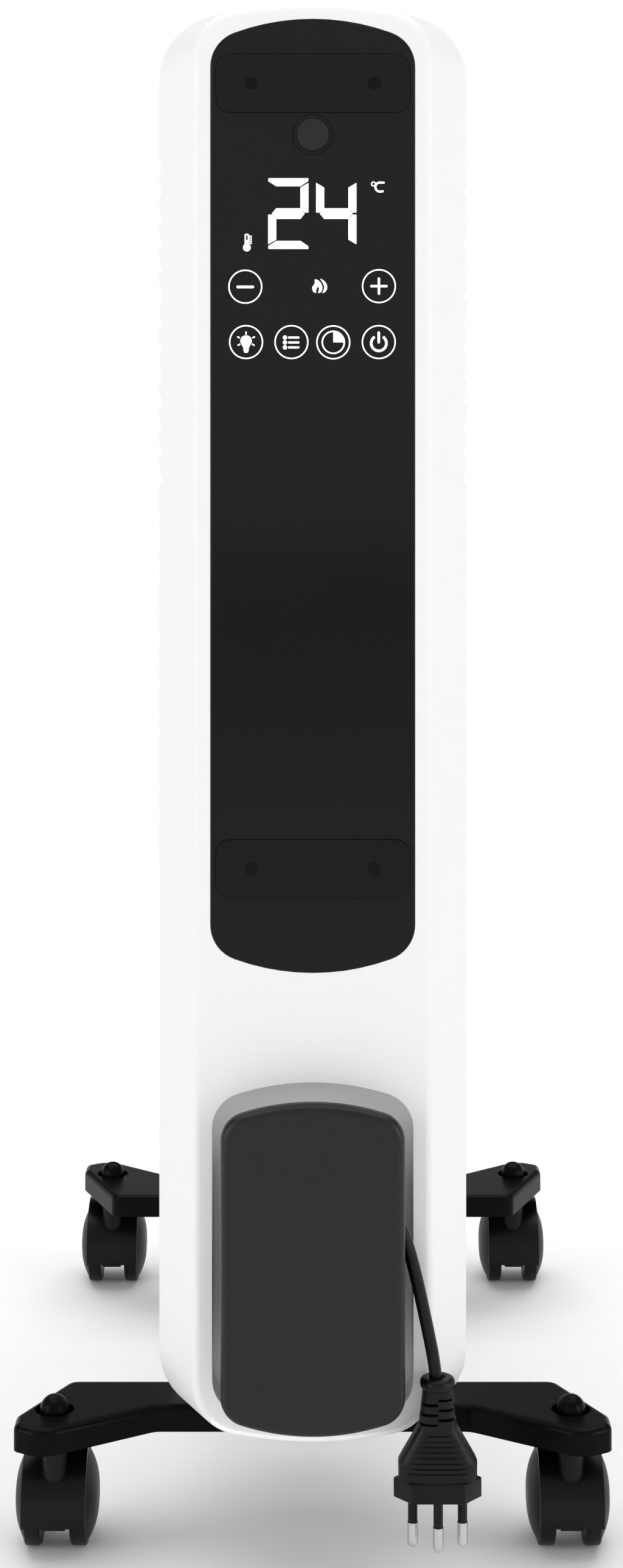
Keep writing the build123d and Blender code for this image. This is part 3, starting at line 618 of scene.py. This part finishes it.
@dataclass
class Relief:
    """Flat symbols with a small thickness, drawn on the panel's front in millimetres."""

    face_y: float
    thick: float = 0.05 * MM
    lift: float = 0.02 * MM
    mesh: bmesh.types.BMesh = field(default_factory=bmesh.new)

    def _vert(self, point: Point) -> bmesh.types.BMVert:
        """A vertex on the back plane of the symbols."""
        return self.mesh.verts.new((point[0] * MM, self.face_y - self.lift, point[1] * MM))

    def polygon(self, points: Iterable[Point]) -> None:
        """A filled outline."""
        self.mesh.faces.new([self._vert(point) for point in points])

    def disc(self, centre: Point, radius: float, parts: int = 40) -> None:
        """A filled circle.

        Args:
            centre: its middle.
            radius: its radius.
            parts: number of points round it.
        """
        self.sector(centre, radius, 0.0, 360.0 * (parts - 1) / parts, parts - 1, False)

    def sector(
        self, centre: Point, radius: float, start: float, end: float, parts: int = 20, hub: bool = True
    ) -> None:
        """A filled sector.

        Args:
            centre: its tip.
            radius: its radius.
            start: where it starts, in degrees.
            end: where it ends, in degrees.
            parts: number of steps along the arc.
            hub: whether the tip is one of its points.
        """
        spots = [(centre[0], centre[1])] if hub else []
        for i in range(parts + 1):
            angle = math.radians(start + (end - start) * i / parts)
            spots.append(on_circle(centre, radius, angle))
        self.polygon(spots)

    def strip(self, inner: Sequence[Point], outer: Sequence[Point]) -> None:
        """The closed band between two outlines of equal point counts.

        Args:
            inner: the inner outline.
            outer: the outer outline.
        """
        rows = [[self._vert(point) for point in line] for line in (inner, outer)]
        for i in range(len(inner)):
            j = (i + 1) % len(inner)
            self.mesh.faces.new((rows[0][i], rows[1][i], rows[1][j], rows[0][j]))

    def ring(
        self, centre: Point, radius: float, stroke: float, start: float = 0.0, sweep: float = 360.0
    ) -> None:
        """A circular line.

        Args:
            centre: its middle.
            radius: its outer radius.
            stroke: the line's width.
            start: where it starts, in degrees.
            sweep: how far it goes, in degrees.
        """
        parts = max(12, round(sweep / 5))
        whole = sweep >= 360.0
        inner, outer = [], []
        for i in range(parts if whole else parts + 1):
            angle = math.radians(start + sweep * i / parts)
            for row, r in ((inner, radius - stroke), (outer, radius)):
                row.append(self._vert(on_circle(centre, r, angle)))
        for i in range(parts):
            j = (i + 1) % len(inner)
            self.mesh.faces.new((inner[i], outer[i], outer[j], inner[j]))

    def bar(self, first: Point, last: Point, width: float) -> None:
        """A straight line with round ends.

        Args:
            first: the one end.
            last: the other end.
            width: the line's width.
        """
        a, b = Vector(first), Vector(last)
        along = (b - a).normalized()
        turn = math.atan2(along.y, along.x)
        spots = []
        for end, offset in ((b, -90), (a, 90)):
            for i in range(9):
                angle = turn + math.radians(offset + 180 * i / 8)
                spots.append(on_circle((end.x, end.y), width / 2, angle))
        self.polygon(spots)

    def finish(self, name: str, material: bpy.types.Material) -> bpy.types.Object:
        """Give the symbols their thickness and make them a piece.

        Args:
            name: the piece's name.
            material: its finish.

        Returns:
            The new object.
        """
        grown = bmesh.ops.extrude_face_region(self.mesh, geom=self.mesh.faces[:])
        moved = [item for item in grown["geom"] if isinstance(item, bmesh.types.BMVert)]
        bmesh.ops.translate(self.mesh, verts=moved, vec=(0, -self.thick, 0))
        return finish_piece(name, self.mesh, material)


# ---------------------------------------------------------------- sub-assemblies


@dataclass
class Digit:
    """One seven-segment figure, in millimetres, from its lower left corner."""

    width: float = 15.5
    height: float = 27.2
    stroke: float = 3.1
    shoulder: float = 1.1
    gap: float = 0.4
    waist: float = 2.05

    def top_bar(self) -> list[Point]:
        """The upper horizontal segment.

        Returns:
            Its outline.
        """
        w, h, t, s = self.width, self.height, self.stroke, self.shoulder
        outer = [(0.1, h), (w - 0.1, h), (w, h - 0.15), (w - 0.1, h - s)]
        return outer + [(w - t, h - t), (t, h - t), (0, h - s)]

    def right_post(self) -> list[Point]:
        """The upper right vertical segment.

        Returns:
            Its outline.
        """
        w, h, t = self.width, self.height, self.stroke
        foot = h / 2 + self.gap
        return [
            (w, h - self.shoulder - 0.7),
            (w, foot + 0.1),
            (w - 0.1, foot),
            (w - 1.4, foot),
            (w - t, h / 2 + self.waist + 0.15),
            (w - t, h - t - self.gap - 0.1),
        ]

    def middle_bar(self) -> list[Point]:
        """The middle horizontal segment."""
        w, m, t, k = self.width, self.height / 2, self.stroke, self.waist
        return [(1.4, m), (t, m + k), (w - t, m + k), (w - 1.45, m), (w - t, m - k), (t, m - k)]

    def mirrored(self, points: list[Point], across: bool, down: bool) -> list[Point]:
        """Mirror a segment within the figure's box.

        Args:
            points: the segment's outline.
            across: whether left and right change places.
            down: whether top and bottom change places.

        Returns:
            The new outline.
        """
        wide, tall = self.width, self.height
        return [(wide - x if across else x, tall - z if down else z) for x, z in points]

    def two(self) -> list[list[Point]]:
        """Segments of the figure 2.

        Returns:
            Their outlines.
        """
        top, post = self.top_bar(), self.right_post()
        return [
            top,
            post,
            self.middle_bar(),
            self.mirrored(post, True, True),
            self.mirrored(top, False, True),
        ]

    def four(self) -> list[list[Point]]:
        """Segments of the figure 4.

        Returns:
            Their outlines.
        """
        post = self.right_post()
        return [
            self.mirrored(post, True, False),
            self.middle_bar(),
            post,
            self.mirrored(post, False, True),
        ]


@dataclass
class Display:
    """The lit figures and touch symbols on the glass, places in millimetres."""

    digit: Digit = field(default_factory=Digit)
    tens: Point = (-17.15, 515.3)
    units: Point = (1.3, 515.3)
    key_radius: float = 6.55
    key_line: float = 0.5
    minus: Point = (-25.95, 500.8)
    plus: Point = (25.45, 501.0)
    lamp: Point = (-25.65, 479.5)
    menu: Point = (-8.2, 479.5)
    timer: Point = (7.9, 479.4)
    power: Point = (25.4, 479.5)
    flame: Point = (2.75, 501.0)
    gauge: Point = (-25.36, 515.85)
    unit: Point = (25.4, 539.2)

    def _key(self, relief: Relief, centre: Point) -> None:
        """The circle round a touch key."""
        relief.ring(centre, self.key_radius, self.key_line)

    def _shift(self, centre: Point, points: Iterable[Point]) -> list[Point]:
        """Points moved to a centre."""
        return [(centre[0] + x, centre[1] + z) for x, z in points]

    def _figures(self, relief: Relief) -> None:
        """The two figures.

        Args:
            relief: the symbols drawn so far.
        """
        for corner, segments in ((self.tens, self.digit.two()), (self.units, self.digit.four())):
            for segment in segments:
                relief.polygon(self._shift(corner, segment))

    def _signs(self, relief: Relief) -> None:
        """Minus and plus keys.

        Args:
            relief: the symbols drawn so far.
        """
        self._key(relief, self.minus)
        x, z = self.minus
        relief.bar((x - 2.9, z - 0.1), (x + 2.9, z - 0.1), 1.0)
        self._key(relief, self.plus)
        arm, half = 3.35, 0.45
        cross = []
        for quarter in range(4):
            turn = Matrix.Rotation(math.radians(90 * quarter), 2)
            for px, pz in ((arm, half - 0.25), (arm - 0.2, half), (half, half), (half, arm - 0.2)):
                spot = turn @ Vector((px, pz))
                cross.append((spot.x, spot.y))
        relief.polygon(self._shift(self.plus, cross))

    def _lamp(self, relief: Relief) -> None:
        """Light key: a bulb with five rays.

        Args:
            relief: the symbols drawn so far.
        """
        self._key(relief, self.lamp)
        bulb = [(0.0, 2.6), (1.55, 2.0), (2.2, 0.4), (1.75, -0.9), (1.1, -2.1), (0.95, -3.2)]
        bulb += [(0.6, -4.0), (-0.6, -4.0), (-0.95, -3.2), (-1.1, -2.1), (-1.75, -0.9), (-2.2, 0.4)]
        bulb += [(-1.55, 2.0)]
        relief.polygon(self._shift(self.lamp, smooth_outline(bulb)))
        rays = [((0, 3.1), (0, 3.8)), ((2.6, 1.7), (3.2, 1.95)), ((2.45, -0.85), (3.05, -1.2))]
        for first, last in rays:
            for side in Sides:
                if first[0] == 0 and side is Sides.LEFT:
                    continue
                turned = [(side.value * x, z) for x, z in (first, last)]
                relief.bar(*self._shift(self.lamp, turned), 0.55)

    def _menu(self, relief: Relief) -> None:
        """Menu key: three dots, each with a bar.

        Args:
            relief: the symbols drawn so far.
        """
        self._key(relief, self.menu)
        for z in (1.75, -0.15, -2.05):
            dot, start, end = self._shift(self.menu, [(-2.5, z), (-0.95, z), (2.7, z)])
            relief.disc(dot, 0.82)
            relief.bar(start, end, 0.78)

    def _timer(self, relief: Relief) -> None:
        """Timer key: a dial with one quarter filled.

        Args:
            relief: the symbols drawn so far.
        """
        self._key(relief, self.timer)
        relief.ring(self.timer, 4.5, 0.55)
        relief.sector(self.timer, 3.97, 0.0, 90.0)

    def _power(self, relief: Relief) -> None:
        """Power key: an open circle and a bar.

        Args:
            relief: the symbols drawn so far.
        """
        self._key(relief, self.power)
        x, z = self.power
        centre = (x, z - 0.45)
        radius, line, gap = 3.4, 0.95, 34.0
        relief.ring(centre, radius, line, 90 + gap, 360 - 2 * gap)
        for side in Sides:
            angle = math.radians(90 + side.value * gap)
            middle = radius - line / 2
            end = on_circle(centre, middle, angle)
            start = angle + (math.pi if side is Sides.LEFT else 0.0)
            relief.polygon([on_circle(end, line / 2, start + k * math.pi / 8) for k in range(9)])
        relief.bar((x, z - 0.05), (x, z + 3.6), line)

    def _flame(self, relief: Relief) -> None:
        """Heating symbol: two flames.

        Args:
            relief: the symbols drawn so far.
        """
        front = [(-1.9, 2.6), (-2.0, 1.1), (-2.95, -0.5), (-2.6, -2.0), (-1.55, -2.6), (-1.45, -1.5)]
        front += [(-0.75, -0.1), (-0.35, -1.2), (-0.65, -2.6), (0.55, -2.1), (0.95, -0.6), (0.5, 1.0)]
        front += [(-0.5, 2.1)]
        rear = [(0.2, 2.8), (1.5, 2.1), (2.6, 0.7), (2.75, -0.9), (2.0, -2.2), (0.95, -2.6)]
        rear += [(1.45, -1.5), (1.65, -0.2), (1.1, 1.3)]
        for outline in (front, rear):
            relief.polygon(self._shift(self.flame, smooth_outline(outline, 5)))

    def _gauge(self, relief: Relief) -> None:
        """Thermometer with five ticks, its tube open at the top.

        Args:
            relief: the symbols drawn so far.
        """
        x, z = self.gauge
        half, wall, top = 0.85, 0.5, 5.1
        shape = []
        for i in range(21):
            angle = math.radians(125 + 290 * i / 20)
            shape.append((1.5 * math.cos(angle), 1.5 * math.sin(angle)))
        shape += [(half, 2.9), (-half, 2.9)]
        relief.polygon(self._shift(self.gauge, shape))
        for side in Sides:
            edge = side.value * (half - wall / 2)
            relief.bar((x + edge, z + 2.9), (x + edge, z + top - 0.3), wall)
        relief.bar((x - 0.35, z + top - 0.1), (x + 0.35, z + top - 0.1), wall + 0.1)
        for i in range(5):
            level = z + 1.55 + 0.7 * i
            relief.bar((x + 1.1, level), (x + 1.75, level), 0.42)

    def _unit(self, relief: Relief) -> None:
        """Degree sign and C.

        Args:
            relief: the symbols drawn so far.
        """
        x, z = self.unit
        relief.ring((x - 2.05, z + 1.1), 0.95, 0.42)
        relief.ring((x + 0.45, z - 0.1), 2.15, 0.78, 62, 236)
        relief.bar((x + 1.1, z + 1.62), (x + 1.95, z + 1.6), 0.72)
        relief.bar((x + 1.1, z - 1.82), (x + 1.55, z - 1.72), 0.72)

    def build(self, finishes: Finishes) -> None:
        """Make the figures and the symbols as two pieces.

        Args:
            finishes: the finishes.
        """
        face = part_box("control_panel")[0].y
        figures, symbols = Relief(face), Relief(face)
        self._figures(figures)
        for draw in (self._signs, self._lamp, self._menu, self._timer):
            draw(symbols)
        for draw in (self._power, self._flame, self._gauge, self._unit):
            draw(symbols)
        for name, relief in (("display_figures", figures), ("touch_symbols", symbols)):
            piece = relief.finish(name, finishes.lit)
            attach(piece, "root")
            log.info("%s: %d faces", name, len(piece.data.polygons))


@dataclass
class PaintedShadowLines:
    """Thin dark lines of painted shadow round the raised plates and the button, in millimetres."""

    wide: float = 0.35
    corner: float = 5.5
    plate_tall: float = 22.2
    lift: float = 0.05

    def _outline(self, low: Vector, high: Vector, out: float) -> list[Point]:
        """Rounded rectangle round a box seen from the front.

        Args:
            low: the box's low corner, in metres.
            high: the box's high corner, in metres.
            out: how far beyond the box it stands.

        Returns:
            The outline.
        """
        radius = self.corner + out
        points = []
        spots = ((high.x, high.z), (low.x, high.z), (low.x, low.z), (high.x, low.z))
        for start, (x, z) in zip((0, 90, 180, 270), spots):
            side_x, side_z = (1 if x == high.x else -1), (1 if z == high.z else -1)
            centre = (x / MM - side_x * self.corner, z / MM - side_z * self.corner)
            for i in range(9):
                points.append(on_circle(centre, radius, math.radians(start + 90 * i / 8)))
        return points

    def build(self, finishes: Finishes) -> None:
        """Make the painted shadow lines as one piece.

        Args:
            finishes: the finishes.
        """
        # painted shadow: dark outlines stand in for the shade at the edges of the raised plates and
        # round the proud button
        relief = Relief(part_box("control_panel")[0].y, self.lift * MM)
        low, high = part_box("trim_plates")
        tall = self.plate_tall * MM
        for bottom in (low.z, high.z - tall):
            corners = Vector((low.x, 0, bottom)), Vector((high.x, 0, bottom + tall))
            rings = [self._outline(*corners, out) for out in (0.0, self.wide)]
            relief.strip(*rings)
        low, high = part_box("power_button")
        centre = ((low.x + high.x) / 2 / MM, (low.z + high.z) / 2 / MM)
        radius = (high.x - low.x) / 2 / MM
        relief.ring(centre, radius + self.wide, self.wide)
        piece = relief.finish("panel_painted_shadow_lines", finishes.plug_dot)
        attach(piece, "root")
        log.info("panel_painted_shadow_lines: %d faces", len(piece.data.polygons))


@dataclass
class Cord:
    """Mains cord: 4.4 turns round the drum, then down to the plug. Millimetres."""

    diameter: float = 4.9
    coil_z: float = 118.5
    half_x: float = 36.6
    half_z: float = 52.0
    side_r: float = 87.0
    end_r: float = 33.2
    rear_y: float = -160.9
    turns_from: float = -152.0
    turns_to: float = -1750.0
    step: float = 20.0
    lead_in: tuple[Triple, ...] = (
        (-17.0, -163.35, 77.0),
        (-21.0, -163.4, 77.6),
        (-25.6, -163.5, 81.4),
    )
    tail: tuple[Triple, ...] = (
        (28.3, -185.0, 152.2),
        (35.0, -184.7, 140.0),
        (38.9, -184.2, 126.0),
        (41.9, -183.6, 112.5),
        (44.3, -183.1, 101.0),
        (46.2, -182.7, 91.5),
        (47.0, -182.5, 84.2),
    )

    def _winding(self) -> list[Vector]:
        """Control points of the turns, a cord's diameter apart in depth.

        Returns:
            The points, clockwise seen from the front.
        """
        side_x = self.side_r - self.half_x
        end_z = self.half_z - self.end_r
        split = math.degrees(math.atan2(end_z, side_x))
        outward = 1.0 / math.cos(math.radians(self.step / 2))
        count = round((self.turns_from - self.turns_to) / self.step)
        points = []
        for i in range(count + 1):
            angle = self.turns_from + (self.turns_to - self.turns_from) * i / count
            lean = math.radians(angle)
            if abs(math.cos(lean)) > math.cos(math.radians(split)):
                centre = Vector((-math.copysign(side_x, math.cos(lean)), self.coil_z))
                radius = self.side_r - self.diameter / 2
            else:
                centre = Vector((0, self.coil_z + math.copysign(end_z, math.sin(lean))))
                radius = (self.end_r - self.diameter / 2) * outward
            turned = (self.turns_from - angle) / 360.0
            depth = self.rear_y - self.diameter / 2 - self.diameter * turned
            x, z = on_circle(centre, radius, lean)
            points.append(Vector((x, depth, z)))
        return points

    def build(self, finishes: Finishes, with_pieces: list[bpy.types.Object]) -> None:
        """Args:
            finishes: the finishes.
            with_pieces: the pieces at the cord's far end; not used.
        """
        route = [Vector(p) for p in self.lead_in] + self._winding() + [Vector(p) for p in self.tail]
        data = bpy.data.curves.new("mains_cord", "CURVE")
        data.dimensions = "3D"
        data.bevel_depth = self.diameter / 2 * MM
        data.bevel_resolution = 6
        data.resolution_u = 8
        spline = data.splines.new("NURBS")
        spline.points.add(len(route) - 1)
        for point, place in zip(spline.points, route):
            point.co = (*(place * MM), 1.0)
        spline.order_u = 3
        spline.use_endpoint_u = True
        piece = bpy.data.objects.new("mains_cord", data)
        bpy.context.scene.collection.objects.link(piece)
        data.materials.append(finishes.cord)
        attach(piece, "root")
        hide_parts("cord_coil", "cord_tail")
        log.info("mains_cord: %d route points", len(route))


@dataclass
class Plug:
    """Moulded plug hanging from the cord, sizes in millimetres from its pins' root."""

    flange_tall: float = 7.6
    grip_levels: tuple[Triple, ...] = (
        (43.0, 5.5, 4.9),
        (36.0, 6.2, 5.0),
        (28.0, 7.3, 5.4),
        (26.5, 8.0, 5.5),
        (15.2, 14.6, 6.7),
        (14.0, 15.1, 6.8),
        (7.6, 15.0, 7.0),
    )
    grip_rings: int = 180
    squareness: float = 0.62
    collar_low: float = 41.2
    collar_high: float = 45.9
    collar_r: float = 6.75
    collar_squash: float = 0.96
    flange_half: float = 17.0
    flange_front: float = 10.0
    flange_deep: float = 7.7
    flange_ease: float = 0.6
    grooves: int = 8
    groove_low: float = 11.1
    groove_pitch: float = 2.0
    groove_wide: float = 0.8
    groove_ends: Point = (12.6, 5.0)
    groove_deep: float = 0.55
    slots: int = 3
    slot_low: float = 29.1
    slot_pitch: float = 1.85
    slot_wide: float = 0.95
    slot_deep: float = 1.6
    slot_spread: float = 0.35
    spine: float = 0.4
    around: int = 72
    place: Vector = field(default_factory=Vector)

    def _sizes(self, level: float) -> tuple[float, float]:
        """Size of the grip at a level.

        Args:
            level: height over the pins' root.

        Returns:
            Half width and half depth.
        """
        table = sorted(self.grip_levels)
        for (z0, x0, y0), (z1, x1, y1) in zip(table, table[1:]):
            if level <= z1:
                t = max(0.0, (level - z0) / (z1 - z0))
                return x0 + (x1 - x0) * t, y0 + (y1 - y0) * t
        return table[-1][1], table[-1][2]

    def _notch(self, level: float, low: float, pitch: float, count: int, wide: float) -> float:
        """How far into a row of notches a level is.

        Args:
            level: height over the pins' root.
            low: height of the lowest notch.
            pitch: height from notch to notch.
            count: number of notches.
            wide: height of one notch.

        Returns:
            0 outside the notches, 1 at the bottom of one.
        """
        for i in range(count):
            away = abs(level - (low + i * pitch)) / (wide / 2)
            if away < 1:
                return min(1.0, (1 - away) * 2.2)
        return 0.0

    def _ring(self, level: float) -> list[Vector]:
        """One closed ring of the grip, with its grooves and strain-relief slots.

        Args:
            level: height over the pins' root.

        Returns:
            The ring's points, in metres.
        """
        half_x, half_y = self._sizes(level)
        row = (self.groove_low, self.groove_pitch, self.grooves, self.groove_wide)
        groove = self._notch(level, *row)
        row = (2 * self.slot_pitch, self.slots, self.slot_wide)
        left = self._notch(level, self.slot_low, *row)
        right = self._notch(level, self.slot_low + self.slot_pitch, *row)
        rise = (level - self.groove_low) / (self.groove_pitch * (self.grooves - 1))
        first, last = self.groove_ends
        reach = first + (last - first) * min(1.0, max(0.0, rise))
        ring = []
        for i in range(self.around):
            angle = 2 * math.pi * i / self.around
            c, s = math.cos(angle), math.sin(angle)
            x = half_x * math.copysign(abs(c) ** self.squareness, c)
            y = half_y * math.copysign(abs(s) ** self.squareness, s)
            flat = max(0.0, 1 - (abs(x) / reach) ** 8)
            y -= math.copysign(groove * self.groove_deep * flat, s)
            cut = left if x < -self.spine else right if x > self.spine else 0.0
            if cut:
                y -= math.copysign(cut * self.slot_deep * min(1.0, (abs(x) - self.spine) / 0.5), s)
                x -= math.copysign(cut * self.slot_deep * self.slot_spread, x)
            ring.append(self.place + Vector((x, y, level)) * MM)
        return ring

    def _grip(self, mesh: bmesh.types.BMesh) -> None:
        """The bell-shaped grip.

        Args:
            mesh: the grip's geometry so far.
        """
        top, bottom = self.grip_levels[0][0], self.grip_levels[-1][0]
        count = self.grip_rings
        levels = [bottom + (top - bottom) * i / count for i in range(count + 1)]
        loft_rings(mesh, [self._ring(level) for level in levels])

    def _collar(self, mesh: bmesh.types.BMesh) -> None:
        """The rounded collar round the cord.

        Args:
            mesh: the grip's geometry so far.
        """
        middle = (self.collar_low + self.collar_high) / 2
        tall = self.collar_high - self.collar_low
        rings = []
        profile = [(0.72, -0.5), (0.9, -0.42), (0.98, -0.22), (1.0, 0.0), (0.98, 0.22)]
        profile += [(0.9, 0.4), (0.76, 0.49), (0.55, 0.5), (0.42, 0.42), (0.38, 0.3)]
        for share, level in profile:
            wide = self.collar_r * share
            deep = wide * self.collar_squash
            ring = []
            for i in range(self.around):
                angle = 2 * math.pi * i / self.around
                spot = (wide * math.cos(angle), deep * math.sin(angle), middle + tall * level)
                ring.append(self.place + Vector(spot) * MM)
            rings.append(ring)
        loft_rings(mesh, rings)

    def _flange(self, finishes: Finishes) -> bpy.types.Object:
        """The six-sided flange with eased edges.

        Args:
            finishes: the finishes.

        Returns:
            The flange.
        """
        mesh = bmesh.new()
        w, f, d = self.flange_half, self.flange_front, self.flange_deep
        plan = [(-w, 0), (-f, -d), (f, -d), (w, 0), (f, d), (-f, d)]
        levels = (0.0, self.flange_tall)
        rings = [[self.place + Vector((x, y, z)) * MM for x, y in plan] for z in levels]
        loft_rings(mesh, rings)
        ease = {"offset": self.flange_ease * MM, "segments": 3, "profile": 0.5}
        bmesh.ops.bevel(mesh, geom=mesh.edges[:], affect="EDGES", **ease)
        return finish_piece("plug_flange", mesh, finishes.castor, 40)

    def build(self, finishes: Finishes) -> list[bpy.types.Object]:
        """Make the plug's pieces.

        Args:
            finishes: the finishes.

        Returns:
            The pieces that the cord carries.
        """
        low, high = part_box("pin_sleeves")
        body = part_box("plug_body")
        self.place = Vector(((low.x + high.x) / 2, (body[0].y + body[1].y) / 2, body[0].z))
        mesh = bmesh.new()
        self._grip(mesh)
        self._collar(mesh)
        grip = finish_piece("plug_grip", mesh, finishes.plug, 50)
        flange = self._flange(finishes)
        for piece in (grip, flange):
            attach(piece, "root")
        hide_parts("plug_body")
        log.info("plug_grip: %d faces", len(grip.data.polygons))
        return [grip, flange]


NODE_FINISH = {
    "front_housing": "white",
    "rear_housing": "rear_white",
    "control_panel": "glass",
    "trim_plates": "trim",
    "trim_plugs": "plug_dot",
    "power_button": "button",
    "winder_cover": "cover",
    "winder_core": "drum",
    "cord_gland": "drum",
    "plug_pins": "pin",
    "pin_sleeves": "plug",
    "front_foot": "foot",
    "rear_foot": "foot",
    "castor_stems": "foot",
    "control_board": "board",
    "power_board": "board",
    "wiring_harness": "cord",
    "heating_element": "element",
    "element_flange": "brass",
    "filler_plug": "brass",
}
PREFIX_FINISH = {
    "fin_": "coat",
    "hub_": "coat",
    "castor_hood": "castor",
    "castor_axle": "zinc",
    "wheel_": "tread",
    "housing_screws": "zinc",
    "winder_screws": "zinc",
    "foot_screws": "zinc",
    "u_bolt": "zinc",
    "wing_nuts": "zinc",
}


def dress_nodes(frame: dict[str, Any], finishes: Finishes) -> None:
    """Give every CAD node its finish.

    Args:
        frame: the loaded frame, with its nodes by name.
        finishes: the finishes.
    """
    for name, node in frame["nodes"].items():
        key = NODE_FINISH.get(name)
        if key is None:
            matches = [value for prefix, value in PREFIX_FINISH.items() if name.startswith(prefix)]
            key = matches[0] if matches else "part"
        node.data.materials.clear()
        node.data.materials.append(getattr(finishes, key))
        log.info("%s: %s", name, key)


@dataclass(frozen=True)
class Softbox:
    """One square soft light: its name, place, size in metres and power in watts."""

    name: str
    place: Triple
    size: float
    power: float


@dataclass
class StudioSet:
    """Floor, lights and camera, in metres."""

    floor_half: float = 6.0
    camera_y: float = -1.2035
    camera_z: float = 0.472
    sensor: float = 36.0
    focal_share: float = 4400.0 / 2576.0
    shift_x: float = -0.0008
    shift_y: float = -0.2694
    band_top: float = 0.17
    ceiling_from: float = 0.3
    ceiling_front: float = 0.6
    ceiling_back: float = 0.12
    ceiling_turn: Point = (-0.2, 0.4)
    floor_back: float = 1.5
    aim: Triple = (0.0, 0.0, 0.3)
    softboxes: tuple[Softbox, ...] = (
        Softbox("key_light", (-2.2, -1.5, 0.75), 1.3, 19.0),
        Softbox("fill_light", (2.3, -1.4, 0.7), 1.3, 20.0),
        Softbox("top_light", (0.0, 0.5, 2.9), 3.6, 84.0),
    )

    def floor(self, finishes: Finishes) -> None:
        """The pale floor.

        Args:
            finishes: the finishes.
        """
        mesh = bmesh.new()
        h, b = self.floor_half, self.floor_back
        corners = ((-h, -h, 0), (h, -h, 0), (h, b, 0), (-h, b, 0))
        mesh.faces.new([mesh.verts.new(corner) for corner in corners])
        finish_piece("studio_floor", mesh, finishes.floor)

    def world(self) -> None:
        """White surroundings at eye level under a dim ceiling."""
        graph = Graph(bpy.data.worlds.new("studio_world"))
        bpy.context.scene.world = graph.owner
        direction = graph.add("ShaderNodeTexCoord", {}, {}, "Generated")
        height = graph.add("ShaderNodeSeparateXYZ", {}, {0: direction}, "Z")
        settings = {"interpolation_type": "SMOOTHSTEP"}
        span = {"Value": height, "From Min": self.band_top, "From Max": self.ceiling_from}
        dim = graph.add("ShaderNodeMapRange", settings, span)
        depth = graph.add("ShaderNodeSeparateXYZ", {}, {0: direction}, "Y")
        start, end = self.ceiling_turn
        reach = {"Value": depth, "From Min": start, "From Max": end}
        reach |= {"To Min": self.ceiling_front, "To Max": self.ceiling_back}
        ceiling = graph.add("ShaderNodeMapRange", settings, reach)
        strength = ceiling * dim + (1.0 - dim)
        colour = graph.blend(dim, (1.0, 1.0, 1.0), (0.98, 0.99, 1.0))
        background = graph.add("ShaderNodeBackground", {}, {"Color": colour, "Strength": strength})
        graph.node("ShaderNodeOutputWorld", {}, {"Surface": background})

    def light(self, softbox: Softbox) -> None:
        """Hang one soft light, turned to the heater.

        Args:
            softbox: its sizes.
        """
        data = bpy.data.lights.new(softbox.name, "AREA")
        data.shape = "SQUARE"
        data.size = softbox.size
        data.energy = softbox.power
        lamp = bpy.data.objects.new(softbox.name, data)
        bpy.context.scene.collection.objects.link(lamp)
        lamp.location = softbox.place
        sight = Vector(self.aim) - Vector(softbox.place)
        lamp.rotation_euler = sight.to_track_quat("-Z", "Y").to_euler()

    def camera(self) -> None:
        """Level camera with a falling lens shift."""
        data = bpy.data.cameras.new("studio_camera")
        data.sensor_fit = "VERTICAL"
        data.sensor_height = self.sensor
        data.sensor_width = self.sensor
        data.lens = self.sensor * self.focal_share
        data.shift_x = self.shift_x
        data.shift_y = self.shift_y
        data.clip_start = 0.05
        camera = bpy.data.objects.new("studio_camera", data)
        camera.location = (0.0, self.camera_y, self.camera_z)
        camera.rotation_euler = (math.radians(90), 0.0, 0.0)
        bpy.context.scene.collection.objects.link(camera)
        bpy.context.scene.camera = camera
        bpy.context.scene.view_settings.view_transform = "Standard"

    def build(self, finishes: Finishes) -> None:
        """Set the stage.

        Args:
            finishes: the finishes.
        """
        self.camera()
        self.floor(finishes)
        self.world()
        for softbox in self.softboxes:
            self.light(softbox)


def main() -> None:
    """Build the whole scene in order."""
    logging.basicConfig(level=logging.INFO, format="%(name)s %(message)s")
    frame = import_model()
    finishes = Finishes()
    StudioSet().build(finishes)
    dress_nodes(frame, finishes)
    plug_pieces = Plug().build(finishes)
    carried = plug_pieces + [frame["nodes"]["plug_pins"], frame["nodes"]["pin_sleeves"]]
    Cord().build(finishes, carried)
    Display().build(finishes)
    PaintedShadowLines().build(finishes)


if __name__ == "__main__":
    main()
